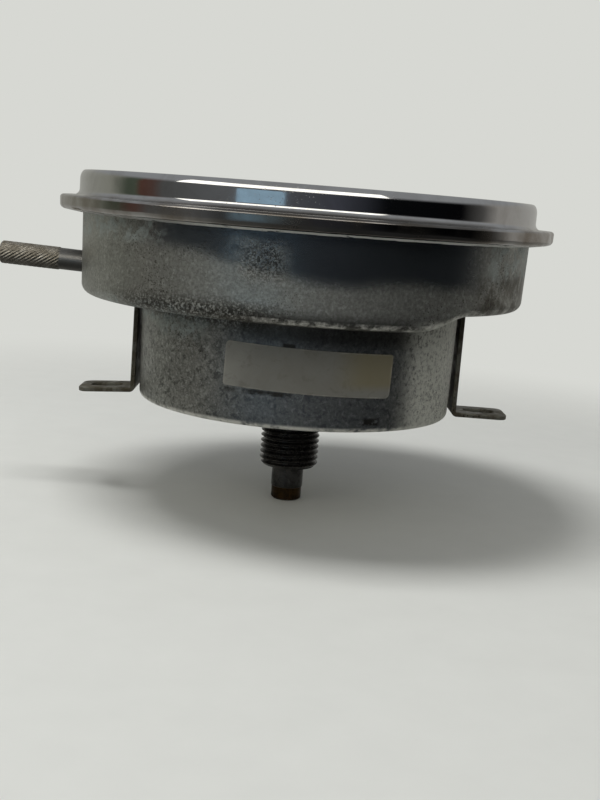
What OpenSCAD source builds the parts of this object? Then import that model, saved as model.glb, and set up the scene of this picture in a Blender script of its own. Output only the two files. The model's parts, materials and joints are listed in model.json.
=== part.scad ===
// Cable-driven magnetic speedometer with a total counter and a trip counter.
// The origin is on the instrument's axis, level with the back of the case and the undersides of the feet.
// +Z points out of the dial, +Y is the top of the dial, and the brackets stand at -X and +X.

/* [Case] */
// Radius of the upper can just under its flange
can_r = 58.4; // [56:0.05:66]
// How much smaller the upper can is at its floor than at its flange
can_draft = 0.45; // [0:0.05:1.5]
// Wall of the upper and the lower can
can_wall = 2.5; // [1.5:0.1:3]
// Height of the annular floor's underside above the back plane
floor_z = 26.3; // [22:0.1:28]
// Thickness of the annular floor
floor_t = 3; // [2:0.1:4]
// How much higher the floor stands over the right bracket
floor_step = 3.7; // [1:0.1:5]
// Half width of the raised floor, along Y
floor_step_y = 40.3; // [20:0.1:44]
// Width of the ramp down from the raised floor, along Y
floor_ramp = 9.1; // [2:0.1:10]
// Rounding of the upper can's lower corner
floor_round = 2.5; // [1:0.1:4]
// Radius of the lower can at the back plane
low_r = 41.6; // [40:0.05:46]
// How much larger the lower can is at the annular floor than at the back plane
low_draft = 0.5; // [0:0.05:1.5]
// Rounding of the lower can's back corner
back_round = 1.2; // [0.5:0.1:2.5]
// Thickness of the back
back_t = 3; // [2:0.1:4]
// Height of the flange's face above the back plane
case_h = 49.5; // [48:0.1:60]
// How far the flange stands out from the upper can
flange_w = 2.95; // [2:0.05:4]
// Thickness of the flange
flange_t = 2.05; // [1:0.05:3]
// Width of the ledge that the dial rests on
ledge_w = 2.5; // [1:0.1:4]
// Depth of the ledge under the dial
ledge_t = 3; // [1:0.1:4]

/* [Bezel and glass] */
// How far the rolled lip stands out from the flange
lip_w = 2.9; // [2.5:0.1:4]
// Height of the rolled lip
lip_h = 3.85; // [3:0.05:4.4]
// Thickness of the edge that is turned in under the flange
crimp_t = 0.7; // [0.4:0.05:1]
// How far the turned-in edge stops short of the lip's rim
crimp_in = 1.5; // [1:0.1:1.8]
// How far the ring stands out from the upper can
ring_step = 0.85; // [0.5:0.05:1.2]
// Height of the ring's top over the flange's face
ring_h = 7.8; // [7:0.1:10]
// Sheet thickness of the ring
ring_t = 1; // [0.6:0.1:1.2]
// Hollow of the ring's outer face
ring_dish = 0.2; // [0.1:0.05:0.3]
// Rounding of the ring's top edge
ring_round = 1.3; // [0.6:0.1:1.3]
// Fillet between the ring and the lip
ring_fillet = 0.9; // [0.4:0.1:1.2]
// Width of the ring's top face
rim_w = 3.7; // [3:0.1:5]
// Thickness of the ring's top face
rim_t = 1.4; // [1.3:0.1:2]
// Thickness of the glass
lens_t = 2.6; // [2:0.1:3]
// Width of the gasket under the glass
gasket_w = 1.9; // [1:0.1:1.9]

/* [Dial and pointer] */
// Depth of the dial's face below the flange's face
dial_depth = 3; // [2:0.1:4]
// Thickness of the dial
dial_t = 1; // [0.6:0.1:1.4]
// Wall of the ring between dial and glass
dial_ring_t = 1.2; // [0.8:0.1:2]
// Width of that ring's foot on the dial
dial_ring_foot = 2; // [1.5:0.1:3]
// Direction of the pointer at zero, in degrees from +X
zero_angle = 210; // [200:1:240]
// Length of the pointer from the spindle
pointer_l = 44; // [30:0.5:48]
// Length of the pointer's tail
pointer_tail = 11; // [6:0.5:12]
// Distance of the stop pin from the spindle
stop_r = 15; // [14:0.5:20]
// Height of a counter window
window_h = 6.5; // [5:0.1:8]

/* [Cable nipple] */
// Outside diameter of the thread
thread_d = 15.9; // [14:0.1:18]
// Pitch of the thread
thread_pitch = 1.5; // [1:0.05:2]
// Length of the thread
thread_l = 17.65; // [12:0.05:22]
// Outside diameter of the end tube
tube_d = 8.6; // [8.4:0.1:10]
// Length of the end tube
tube_l = 6; // [3:0.05:8]
// Diameter of the brass tip
tip_d = 8.2; // [8:0.1:9]
// Length of the brass tip
tip_l = 3.5; // [2:0.1:5]
// Width of the square socket for the cable
socket_w = 2.7; // [2:0.1:3.2]
// Depth of the square socket
socket_l = 13; // [8:0.5:18]

/* [Brackets] */
// Width of the bracket strip
strip_w = 12; // [10:0.5:16]
// Thickness of the bracket strip
strip_t = 1.2; // [0.8:0.1:1.6]
// Gap between the lower can and a bracket's arm
strip_gap = 0.4; // [0.3:0.1:2]
// Length of a foot from the arm's outer face
foot_l = 14; // [13:0.5:20]
// Length of the bracket's top flange from the arm's outer face
top_l = 8.5; // [8:0.5:11]
// Rounding of a foot's outer corners
foot_corner = 2.5; // [1:0.1:5]
// Inner radius of the bends
bend_r = 0.8; // [0.4:0.1:1.5]
// Width of the slot in a foot
slot_w = 5.4; // [4:0.1:7]
// Length of the slot in a foot
slot_l = 8.6; // [7.2:0.1:10]

/* [Label] */
// Width of the label along the can
label_w = 41.5; // [20:0.5:60]
// Height of the label
label_h = 10; // [6:0.5:16]
// Height of the label's middle above the back plane
label_z = 14.3; // [10:0.1:16]
// Direction of the label's middle, in degrees from +X
label_angle = 274.25; // [255:0.25:290]
// Thickness of the label
label_t = 0.15; // [0.1:0.05:0.3]

/* [Trip reset] */
// Height of the stem over the annular floor where it leaves the upper can
reset_up = 4.1; // [3.9:0.1:6]
// Rise of the stem outwards, in degrees
reset_rise = 2.3; // [0:0.1:3]
// Diameter of the stem inside the case
stem_d = 4; // [3:0.1:5]
// Diameter of the smooth neck outside the case
neck_d = 5.7; // [5.2:0.1:7]
// Length of the smooth neck
neck_l = 7.5; // [4:0.1:12]
// Diameter over the knurl
knurl_d = 6.2; // [5.6:0.1:8]
// Depth of the knurl flutes
knurl_depth = 0.2; // [0.1:0.05:0.3]
// Length of the knurl
knurl_l = 15; // [8:0.5:20]
// Number of knurl flutes
knurl_n = 24; // [16:1:36]

/* [Movement] */
// Thickness of the frame's base plate
plate_t = 1.8; // [1.2:0.1:2]
// Thickness of the frame's cheeks
cheek_t = 1.4; // [1:0.1:1.6]
// Distance of both counters' axes from the inside of the lower can
count_in = 15.1; // [14.9:0.1:15.3]
// Radius of a number drum
drum_r = 7.6; // [7.4:0.05:8]
// Width of a number drum
drum_w = 3.2; // [2.6:0.1:3.4]
// Gap between two drums
drum_gap = 1.2; // [1.2:0.1:1.4]
// Gap between the drums and the dial
drum_to_dial = 0.6; // [0.4:0.1:1]
// Radius of the counter shafts
count_shaft_r = 1.5; // [1.2:0.1:1.8]
// Radius of the idler shafts
idler_shaft_r = 1; // [0.8:0.1:1]
// Radius of the pinion shafts
pinion_shaft_r = 0.8; // [0.6:0.1:0.9]
// Radius of the lay shaft
lay_shaft_r = 1.2; // [1:0.1:1.4]
// Radius of the drive shaft
drive_r = 3; // [2.8:0.1:3.2]
// Radius of the pointer's spindle
spindle_r = 1; // [0.8:0.1:1.2]
// Gap between the magnet and the speed cup
magnet_gap = 1.1; // [0.6:0.1:2]
// Height of the magnet
magnet_h = 4; // [3:0.1:4.2]
// Gap between the speed cup and the field cup
cup_gap = 1; // [0.6:0.1:1.5]
// Height of the speed cup
cup_h = 5.7; // [4.5:0.1:5.7]
// Sheet thickness of the speed cup
cup_t = 0.6; // [0.4:0.1:0.8]
// Gap between the field cup and the number drums
field_gap = 1.2; // [1:0.1:1.6]
// Wall of the field cup
field_t = 2; // [2:0.1:2.2]
// Height of the field cup
field_h = 7.2; // [6:0.1:7.2]
// Gap between the spindle bridge and the dial
bridge_gap = 3; // [2.5:0.1:3.2]
// Thickness of the spindle bridge
bridge_t = 1.5; // [1:0.1:1.8]
// Turns of the hairspring
hair_turns = 4; // [3:1:5]
// Thickness of the hairspring's strip
hair_t = 0.25; // [0.2:0.05:0.4]

/* [Hidden] */
$fn = 64;
// Radial clearance of a running fit, of a fixed fit, and the gap of loosely nested parts
run = 0.05;
fix = 0.02;
loose = 0.2;
overcut = 1;
arc_step = 15;

// Case
can_low_r = can_r - can_draft;
flange_r = can_r + flange_w;
flange_z = case_h - flange_t;
inner_r = can_r - can_wall;
low_top_r = low_r + low_draft;
low_in_r = low_r - can_wall;
plate_z = back_t + plate_t;
plate_gap = 0.85;
plate_r = low_in_r - plate_gap;
count_y = low_in_r - count_in;

// Bezel, glass and dial
lip_r = flange_r + lip_w;
crimp_top = flange_z - run;
lip_top = crimp_top + lip_h;
ring_r = can_r + ring_step;
ring_in = ring_r - ring_t;
ring_top = case_h + ring_h;
lens_r = ring_in - loose;
lens_top = ring_top - rim_t;
lens_z = lens_top - lens_t;
dial_z = case_h - dial_depth;
dial_back = dial_z - dial_t;
dial_r = inner_r - loose;

// Nipple and drive shaft
tube_end = -thread_l - tube_l;
tip_end = tube_end - tip_l;
// Depth of the thread, and half a groove's width at its mouth and at its root, as shares of the pitch
thread_depth = 0.61 * thread_pitch;
groove_mouth = 0.44 * thread_pitch;
groove_root = 0.06 * thread_pitch;
tip_chamfer = 0.5;
nipple_flange_r = thread_d / 2 + 2;
nipple_flange_z = back_t + 2;
bush_r = drive_r + 0.6;
bush_l = 8;
collar_r = drive_r + 1.5;
collar_h = 2;
collar_gap = 0.1;
shaft_in = 0.3;

// Spindle group, from the dial down
bridge_z = dial_back - bridge_gap - bridge_t;
bridge_w = 5;
bridge_boss_r = 4;
hair_h = 0.6;
hair_z = bridge_z - 2;
hair_in = spindle_r + 1.3;
hair_out = 9.7;
stud_r = 0.6;
stud_over = 0.3;
stud_x = hair_out + stud_r + stud_over;
field_r = count_y - drum_r - field_gap - field_t;
field_out = field_r + field_t;
field_top = bridge_z - 3;
field_z = field_top - field_h;
cup_r = field_r - cup_gap;
cup_top = field_top - 0.8;
magnet_r = cup_r - cup_t - magnet_gap;
magnet_top = cup_top - cup_t - magnet_gap;
magnet_z = magnet_top - magnet_h;
pivot_l = 4;
pivot_gap = 0.5;
collet_r = spindle_r + 0.8;
pointer_z = dial_z + 1;
hub_r = 3.5;
hub_h = 1.5;
blade_z = pointer_z + 0.5;
blade_t = 0.6;
blade_root_w = 3;
blade_tip_w = 1;
blade_tip_l = 2;
blade_tail_w = 4.2;
hub_lap = 0.5;
cap_h = 1.5;
// Stop pin, just behind the pointer at zero
stop_pin_r = 0.7;
stop_pin_over = 0.6;
stop_at = polar(stop_r, zero_angle) + polar(blade_root_w / 2 + stop_pin_r + loose, zero_angle + 90);
post_r = field_t / 2;
post_at = field_r + field_t / 2;
pillar_r = 2;
dial_pillar_r = 2.5;
dial_pillar_at = plate_r - 5.15;
dial_bore_l = 5;
dial_pillars = [polar(dial_pillar_at, -25), polar(dial_pillar_at, 152)];
frame_screw_at = plate_r - 5.25;
frame_screw_angles = [20, 140, 220];
// Height of the frame screws' ends over the back plane
frame_screw_end = 0.8;

// Gears: tooth counts, modules and pitch radii, from the drive shaft to the first drum
// The two worm wheels take the height that is left over the back and under the field cup
worm_tip = 0.64;
worm_root = 0.88;
worm_share = 0.34;
under_wheel = 1;
first_n = 20;
first_r_most = 12.5;
first_room = field_z - loose - back_t - under_wheel;
first_r = min(first_r_most, first_room / (2 + 4 * worm_tip / first_n));
first_m = 2 * first_r / first_n;
first_w = 3;
first_hub_r = 4;
first_hub_over = 1;
first_slot_over = 1.8;
drive_worm_l = 12;
spur_m = 0.6;
spur_tip = 0.5;
spur_root = 0.7;
spur_n = 10;
drum_n = 20;
pinion_n = 8;
spur_w = 1.4;
spur_d = spur_m * (spur_n + drum_n) / 2;
pinion_d = spur_m * (pinion_n + drum_n) / 2;
ring_w = drum_gap - 2 * loose;
pinion_w = drum_gap / 2;
drum_z = dial_back - drum_to_dial - drum_r;
idler_z = drum_z - spur_d;
second_n = 25;
lay_worm_r = 2.8;
lay_worm_l = 6.2;
lay_low = back_t + under_wheel + first_r + worm_tip * first_m;
second_r_most = 8.2;
second_r = min(second_r_most, idler_z - lay_worm_r - lay_low);
second_m = 2 * second_r / second_n;
second_w = 1.8;

// Places of the shafts
drum_pitch = drum_w + drum_gap;
lay_z = idler_z - lay_worm_r - second_r;
total_n = 5;
trip_n = 4;
spur_x = (total_n * drum_pitch - drum_gap) / 2 + 0.5;
cheek_x = spur_x + spur_w + 0.5;
cheek_out = cheek_x + cheek_t;
cheek_half = 6;
cheek_far = count_y + pinion_d + 3;
cheek_edge = 3.5;
cheek_cut = 2;
shaft_over = 0.5;
idler_over = 0.6;
drum_hub_r = count_shaft_r + 2;
bearing_y = count_y + 5.5;
bearing_w = 6;
bearing_gap = 0.8;
lay_x = cheek_out + bearing_gap + bearing_w / 2;
drive_worm_r = lay_x - first_r;
bearing_t = 2.4;
pillar_gap = 0.8;
pillar_right = lay_x + lay_shaft_r + pillar_gap + pillar_r;
pillar_left = field_out + 4.8;
pillar_side = 8;
pillars = [[pillar_right, pillar_side], [pillar_right, -pillar_side], [-pillar_left, 0]];

// Trip reset: the stem's own frame has its origin at the wall and +Z outwards along the stem
reset_z = floor_z + floor_t + reset_up;
stem_bush_r = stem_d / 2 + 1;
stem_bush_flange_r = stem_bush_r + 0.5;
stem_bush_l = 3 * can_wall;
stem_bush_sunk = 0.3;
stem_over = 0.8;
wall_x = can_low_r + can_draft * (reset_z - floor_z) / (flange_z - floor_z);
reset_w = 2.5;
knob_n = 20;
reset_idler_n = 15;
reset_gear_x = -field_out - 10.8;
reset_in = (wall_x + reset_gear_x) / cos(reset_rise);
reset_gear_z = reset_z - reset_in * sin(reset_rise);
reset_span = norm([count_y, drum_z - reset_gear_z]);
reset_m = reset_span / (knob_n + reset_idler_n);
reset_dir = atan2(drum_z - reset_gear_z, -count_y);
reset_idler_d = reset_m * (knob_n + reset_idler_n) / 2;
reset_idler_y = reset_idler_d * cos(reset_dir);
reset_idler_z = reset_gear_z + reset_idler_d * sin(reset_dir);
reset_tip = 0.6;
reset_root = 0.85;
reset_stud_r = 1.5;
tab_x = reset_gear_x - reset_w / 2 - 3.8;
tab_t = 2;
tab_half = 4;

// Brackets and screws
arm_in = low_top_r + strip_gap;
arm_out = arm_in + strip_t;
slot_x = arm_out + foot_l / 2;
bracket_screw_x = arm_out + top_l / 2 + 0.4;
screw_r = 1.5;
screw_head_r = 2.5;
screw_head_h = 1;
driver_w = 0.6;
driver_depth = 0.5;
bracket_screw_in = 2;
frame_head_h = 1.6;
dial_head_r = 2.2;
dial_head_h = 0.8;
dial_screw_l = 4;
bridge_screw_r = 1;
bridge_head_r = 2;
bridge_head_h = 1.2;
bridge_screw_l = 5;

// Points along an arc about c, from angle a to angle b
function arc(c, r, a, b) =
    let (n = ceil(abs(b - a) / arc_step))
    [for (i = [0:n]) c + polar(r, a + (b - a) * i / n)];
// A point at radius r and angle t
function polar(r, t) = r * [cos(t), sin(t)];
// Radius of the lower can's outside at height z
function low_r_at(z) = low_r + low_draft * z / floor_z;
// Middle of drum i, counted from the geared end, in a counter of n drums
function drum_x(i, n) = ((n + 1) / 2 - i) * drum_pitch;

// Toothed outline of n teeth and module m, with one tooth at angle phase
module gear_2d(n, m, phase, tip, root, share = 0.36) {
    pitch_r = n * m / 2;
    half = 180 * share / n;
    polygon([for (k = [0:n - 1]) let (t = phase + 360 * k / n)
        each [polar(pitch_r - root, t - 1.35 * half), polar(pitch_r + tip, t - 0.6 * half),
              polar(pitch_r + tip, t + 0.6 * half), polar(pitch_r - root, t + 1.35 * half)]]);
}

// Cross-section of a single-start worm, its thread centred on angle phase
module worm_2d(pitch_r, tip, root, phase) {
    top_half = 36;
    base_half = 74;
    polygon(concat(
        [for (i = [-1:1]) polar(pitch_r + tip, phase + top_half * i)],
        [for (i = [0:8]) polar(pitch_r - root, phase + base_half + (360 - 2 * base_half) * i / 8)]));
}

// Right-hand worm of module m that stands on the plane, its groove facing angle mesh at mid length
module worm(pitch_r, m, length, mesh) {
    turns = length / (PI * m);
    linear_extrude(height = length, twist = -360 * turns, slices = ceil(turns * 12), $fn = 12)
        worm_2d(pitch_r, worm_tip * m, worm_root * m, mesh + 180 - 180 * turns);
}

// Lays the plane's Z along +X, its X along +Y and its Y along +Z, through the point p
module along_x(p) translate(p) rotate([90, 0, 90]) children();
// Lays the plane's Z along +Y, its X along +X and its Y along -Z, through the point p
module along_y(p) translate(p) rotate([-90, 0, 0]) children();
// Puts things into the stem's own frame
module along_stem() translate([-wall_x, 0, reset_z]) rotate([0, reset_rise - 90, 0]) children();

module ring(inner, outer, h) {
    difference() {
        cylinder(r = outer, h = h);
        translate([0, 0, -overcut]) cylinder(r = inner, h = h + 2 * overcut);
    }
}

// Screw with a slotted pan head on the plane and its shank below
module screw(head_r, head_h, shank_r, shank_l) {
    difference() {
        cylinder(r = head_r, h = head_h);
        translate([-head_r - overcut, -driver_w / 2, head_h - driver_depth])
            cube([2 * head_r + 2 * overcut, driver_w, overcut]);
    }
    translate([0, 0, -shank_l]) cylinder(r = shank_r, h = shank_l);
}

// Outside of the case with its annular floor at height z
module case_outside(z) {
    rotate_extrude() polygon(concat(
        [[0, 0]],
        arc([low_r - back_round, back_round], back_round, -90, 0),
        [[low_r_at(z), z]],
        arc([can_low_r - floor_round, z + floor_round], floor_round, -90, 0),
        [[can_r, flange_z], [flange_r, flange_z], [flange_r, case_h], [0, case_h]]));
}

// Prism under the raised part of the floor, lifted by z
module raised_sector(z) {
    slope = floor_ramp / floor_step;
    high = floor_step + floor_round;
    half_low = floor_step_y + floor_ramp;
    along_x([0, 0, floor_z + z]) linear_extrude(flange_r) polygon([
        [-half_low, -overcut], [-half_low, 0], [slope * high - half_low, high],
        [half_low - slope * high, high], [half_low, 0], [half_low, -overcut]]);
}

// Hollow of the case, with the ledge for the dial left standing
module case_hollow() {
    floor_top = floor_z + floor_t;
    ledge_r = dial_r - ledge_w;
    ledge_z = dial_back - ledge_t;
    rotate_extrude() polygon([
        [0, back_t], [low_in_r, back_t], [low_r_at(floor_top) - can_wall, floor_top],
        [can_low_r - can_wall, floor_top], [inner_r, ledge_z - ledge_w], [ledge_r, ledge_z],
        [ledge_r, dial_back], [inner_r, dial_back], [inner_r, case_h + overcut], [0, case_h + overcut]]);
}

module housing() color("#9a9c9d") {
    difference() {
        case_outside(floor_z);
        difference() {
            case_hollow();
            intersection() {
                translate([0, 0, floor_z]) ring(low_top_r - can_wall, can_r, floor_step + floor_t);
                raised_sector(floor_t);
            }
        }
        intersection() {
            raised_sector(0);
            difference() {
                translate([0, 0, floor_z - overcut])
                    ring(low_top_r, flange_r, floor_step + floor_round + overcut);
                case_outside(floor_z + floor_step);
            }
        }
        translate([0, 0, -overcut]) cylinder(r = thread_d / 2 + run, h = back_t + 2 * overcut);
        along_stem() translate([0, 0, -2 * can_wall]) cylinder(r = stem_bush_r + run, h = 4 * can_wall);
        for (a = frame_screw_angles)
            translate(concat(polar(frame_screw_at, a), [frame_screw_end - loose]))
                cylinder(r = screw_r + run, h = back_t);
        bracket_screw_hole(-bracket_screw_x, floor_z);
        bracket_screw_hole(bracket_screw_x, floor_z + floor_step);
    }
}

// Blind hole for a bracket's screw, up from the floor's underside at height z
module bracket_screw_hole(x, z)
    translate([x, 0, z - overcut]) cylinder(r = screw_r + run, h = bracket_screw_in + loose + overcut);

// Outline of the bezel, from the turned-in edge up the outside and back down the inside
module bezel() color("#d8dadc") rotate_extrude() {
    bead_r = lip_h / 2;
    wall_low = lip_top + ring_fillet;
    wall_high = ring_top - ring_round;
    polygon(concat(
        [[can_r + loose, crimp_top - crimp_t], [lip_r - crimp_in, crimp_top - crimp_t]],
        [[lip_r - crimp_in, crimp_top]],
        arc([lip_r - bead_r, crimp_top + bead_r], bead_r, -78, 90),
        arc([ring_r + ring_fillet, wall_low], ring_fillet, 270, 180),
        [for (t = [0.2:0.2:0.8])
            [ring_r - 4 * ring_dish * t * (1 - t), wall_low + (wall_high - wall_low) * t]],
        arc([ring_r - ring_round, wall_high], ring_round, 0, 90),
        [[ring_r - rim_w, ring_top], [ring_r - rim_w, lens_top], [ring_in, lens_top]],
        [[ring_in, case_h + run], [flange_r + run, case_h + run]],
        [[flange_r + run, crimp_top], [can_r + loose, crimp_top]]));
}

module lens() color("#dfeef0", 0.4) translate([0, 0, lens_z]) cylinder(r = lens_r, h = lens_t);

module lens_gasket() color("#202020")
    translate([0, 0, case_h]) ring(lens_r - gasket_w, lens_r, lens_z - case_h);

module dial_ring() color("#1b1b1c") {
    translate([0, 0, dial_z]) ring(dial_r - dial_ring_t, dial_r, lens_z - loose - dial_z);
    translate([0, 0, dial_z]) ring(dial_r - dial_ring_foot, dial_r - dial_ring_t + fix, 0.8);
}

module dial() color("#151617") difference() {
    translate([0, 0, dial_back]) cylinder(r = dial_r, h = dial_t);
    translate([0, 0, dial_back - overcut]) {
        cylinder(r = 2 * spindle_r, h = dial_t + 2 * overcut);
        counter_window(total_n, count_y);
        counter_window(trip_n, -count_y);
        for (p = dial_pillars) translate(p) cylinder(r = screw_r + run, h = dial_t + 2 * overcut);
        translate(stop_at) cylinder(r = stop_pin_r + run, h = dial_t + 2 * overcut);
    }
}

// Window over a counter of n drums
module counter_window(n, y) {
    w = n * drum_pitch - drum_gap + 2 * loose;
    translate([-w / 2, y - window_h / 2, 0]) cube([w, window_h, dial_t + 2 * overcut]);
}

module dial_screws() color("#8a8a86")
    for (p = dial_pillars)
        translate(concat(p, [dial_z])) screw(dial_head_r, dial_head_h, screw_r, dial_screw_l);

module stop_pin() color("#77777a")
    translate(concat(stop_at, [dial_back]))
        cylinder(r = stop_pin_r, h = blade_z + blade_t - dial_back + stop_pin_over);

// Outline of one thread groove, its middle at height z
function groove(z) = [
    [thread_d / 2, z + groove_mouth], [thread_d / 2 - thread_depth, z + groove_root],
    [thread_d / 2 - thread_depth, z - groove_root], [thread_d / 2, z - groove_mouth]];

module cable_nipple() color("#2b2c2e") difference() {
    union() {
        translate([0, 0, back_t]) cylinder(r = nipple_flange_r, h = nipple_flange_z - back_t);
        grooves = floor((thread_l - 2 * thread_pitch) / thread_pitch);
        rotate_extrude() polygon(concat(
            [[0, nipple_flange_z - overcut], [thread_d / 2, nipple_flange_z - overcut]],
            [for (k = [0:grooves]) each groove(-(k + 0.5) * thread_pitch)],
            [[thread_d / 2, -thread_l + thread_depth], [thread_d / 2 - thread_depth, -thread_l]],
            [[0, -thread_l]]));
        translate([0, 0, tube_end]) cylinder(d = tube_d, h = tube_l + overcut);
    }
    translate([0, 0, tube_end - overcut]) {
        cylinder(r = drive_r + run, h = nipple_flange_z - tube_end + 2 * overcut);
        cylinder(r = bush_r + fix, h = bush_l + overcut + loose);
    }
}

module drive_bush() color("#8a6a3a") difference() {
    union() {
        rotate_extrude() polygon([
            [0, tube_end], [tip_d / 2, tube_end], [tip_d / 2, tip_end + tip_chamfer],
            [tip_d / 2 - tip_chamfer, tip_end], [0, tip_end]]);
        translate([0, 0, tube_end - overcut]) cylinder(r = bush_r, h = bush_l + overcut);
    }
    translate([0, 0, tip_end - overcut]) cylinder(r = drive_r + run, h = tip_l + bush_l + 2 * overcut);
}

// Cheek outline seen along X, for the counter on the side s
module cheek_2d(s) polygon([
    [s * (count_y - cheek_half), back_t], [s * (count_y + cheek_half), back_t],
    [s * (count_y + cheek_half), idler_z], [s * cheek_far, drum_z - cheek_edge],
    [s * cheek_far, drum_z + cheek_edge], [s * (count_y - cheek_half + cheek_cut), drum_z + cheek_edge],
    [s * (count_y - cheek_half), drum_z]]);

// Base plate with its cheeks, the dial's pillars, and the tab and stud of the reset idler
module frame_body() {
    translate([0, 0, back_t]) cylinder(r = plate_r, h = plate_t);
    for (x = [-cheek_out, cheek_x], s = [-1, 1])
        along_x([x, 0, 0]) linear_extrude(cheek_t) cheek_2d(s);
    for (p = dial_pillars)
        translate(concat(p, [back_t])) cylinder(r = dial_pillar_r, h = dial_back - back_t);
    tab_h = max(reset_idler_z, reset_gear_z) + tab_half - back_t;
    translate([tab_x, reset_idler_y - tab_half, back_t]) cube([tab_t, 2 * tab_half - reset_idler_y, tab_h]);
    along_x([tab_x + tab_t - fix, reset_idler_y, reset_idler_z])
        cylinder(r = reset_stud_r, h = reset_gear_x + reset_w / 2 + shaft_over - tab_x - tab_t);
}

module movement_frame() color("#b3a98c") difference() {
    frame_body();
    translate([0, 0, back_t - overcut]) {
        through = plate_t + 2 * overcut;
        cylinder(r = nipple_flange_r + loose, h = through);
        slot_half = first_r + first_slot_over;
        translate([lay_x - slot_half, -first_w, 0]) cube([2 * slot_half, 2 * first_w, through]);
        for (a = frame_screw_angles)
            translate(polar(frame_screw_at, a)) cylinder(r = screw_r + run, h = through);
    }
    for (p = dial_pillars)
        translate(concat(p, [dial_back - dial_bore_l]))
            cylinder(r = screw_r + run, h = dial_bore_l + overcut);
    for (s = [-1, 1]) {
        cheek_bore(s * count_y, drum_z, count_shaft_r);
        cheek_bore(s * count_y, idler_z, idler_shaft_r);
        cheek_bore(s * (count_y + pinion_d), drum_z, pinion_shaft_r);
    }
    along_stem() translate([0, 0, -reset_in]) cylinder(d = stem_d + 2 * run, h = reset_in - 4 * can_wall);
}

// Running bore through both cheeks
module cheek_bore(y, z, r)
    along_x([-cheek_out - overcut, y, z]) cylinder(r = r + run, h = 2 * cheek_out + 2 * overcut);

module frame_screws() color("#8a8a86")
    for (a = frame_screw_angles)
        translate(concat(polar(frame_screw_at, a), [plate_z]))
            screw(screw_head_r, frame_head_h, screw_r, plate_z - frame_screw_end);

module bridge_pillars() color("#b59f5a") difference() {
    for (p = pillars)
        translate(concat(p, [plate_z])) cylinder(r = pillar_r, h = bridge_z - plate_z);
    for (p = pillars)
        translate(concat(p, [bridge_z - bridge_screw_l - overcut]))
            cylinder(r = bridge_screw_r + run, h = bridge_screw_l + 2 * overcut);
}

module spindle_bridge() color("#b59f5a") translate([0, 0, bridge_z]) difference() {
    union() {
        cylinder(r = bridge_boss_r, h = bridge_t);
        for (p = pillars) {
            rotate(atan2(p.y, p.x)) translate([0, -bridge_w / 2, 0]) cube([norm(p), bridge_w, bridge_t]);
            translate(p) cylinder(r = pillar_r + 1, h = bridge_t);
        }
    }
    translate([0, 0, -overcut]) {
        through = bridge_t + 2 * overcut;
        cylinder(r = spindle_r + run, h = through);
        for (p = pillars) translate(p) cylinder(r = bridge_screw_r + run, h = through);
        translate([-stud_x, 0, 0]) cylinder(r = stud_r + fix, h = through);
    }
}

module bridge_screws() color("#8a8a86")
    for (p = pillars)
        translate(concat(p, [bridge_z + bridge_t]))
            screw(bridge_head_r, bridge_head_h, bridge_screw_r, bridge_t + bridge_screw_l);

module field_cup() color("#6f7072") translate([0, 0, field_z]) ring(field_r, field_r + field_t, field_h);

module field_cup_posts() color("#b59f5a")
    for (a = [90, 180, 270])
        translate(concat(polar(post_at, a), [plate_z])) cylinder(r = post_r, h = field_z - plate_z);

// Point of the hairspring's inner or outer edge at the share t of its length
function hair_point(t, side) =
    polar(hair_in + (hair_out - hair_in) * t + side * hair_t / 2, 180 + 360 * hair_turns * t);

// Flat spiral strip from the spindle's collet to the stud
module hairspring() color("#8fa0b5") {
    n = hair_turns * 20;
    translate([0, 0, hair_z]) linear_extrude(hair_h) polygon(concat(
        [for (i = [0:n]) hair_point(i / n, 1)],
        [for (i = [n:-1:0]) hair_point(i / n, -1)]));
}

module hairspring_stud() color("#b59f5a")
    translate([-stud_x, 0, hair_z - stud_over])
        cylinder(r = stud_r, h = bridge_z + bridge_t - hair_z + stud_over);

module total_shaft() color("#a9abad")
    along_x([-cheek_out - shaft_over, count_y, drum_z])
        cylinder(r = count_shaft_r, h = 2 * (cheek_out + shaft_over));

// Shaft of the transfer pinions on the side s
module pinion_shaft(s) color("#a9abad")
    along_x([-cheek_out - shaft_over, s * (count_y + pinion_d), drum_z])
        cylinder(r = pinion_shaft_r, h = 2 * (cheek_out + shaft_over));

module lay_shaft_bearings() color("#b59f5a") difference() {
    for (s = [-1, 1])
        translate([lay_x - bearing_w / 2, s * bearing_y - bearing_t / 2, plate_z])
            cube([bearing_w, bearing_t, lay_z + bearing_w / 2 - plate_z]);
    along_y([lay_x, -bearing_y - bearing_t, lay_z])
        cylinder(r = lay_shaft_r + run, h = 2 * (bearing_y + bearing_t));
}

// Strip of the bracket's height, bent out at both ends, seen along Y with its arm's outer face at x = 0
module bracket_2d(h) {
    bend = bend_r + strip_t;
    for (flip = [0, 1]) translate([0, flip * h]) mirror([0, flip]) {
        l = flip == 0 ? foot_l : top_l;
        translate([bend_r, 0]) square([l - bend_r, strip_t]);
        intersection() {
            translate([bend_r, bend]) difference() {
                circle(bend);
                circle(bend_r);
            }
            translate([-strip_t, 0]) square(bend);
        }
    }
    translate([-strip_t, bend]) square([strip_t, h - 2 * bend]);
}

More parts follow.
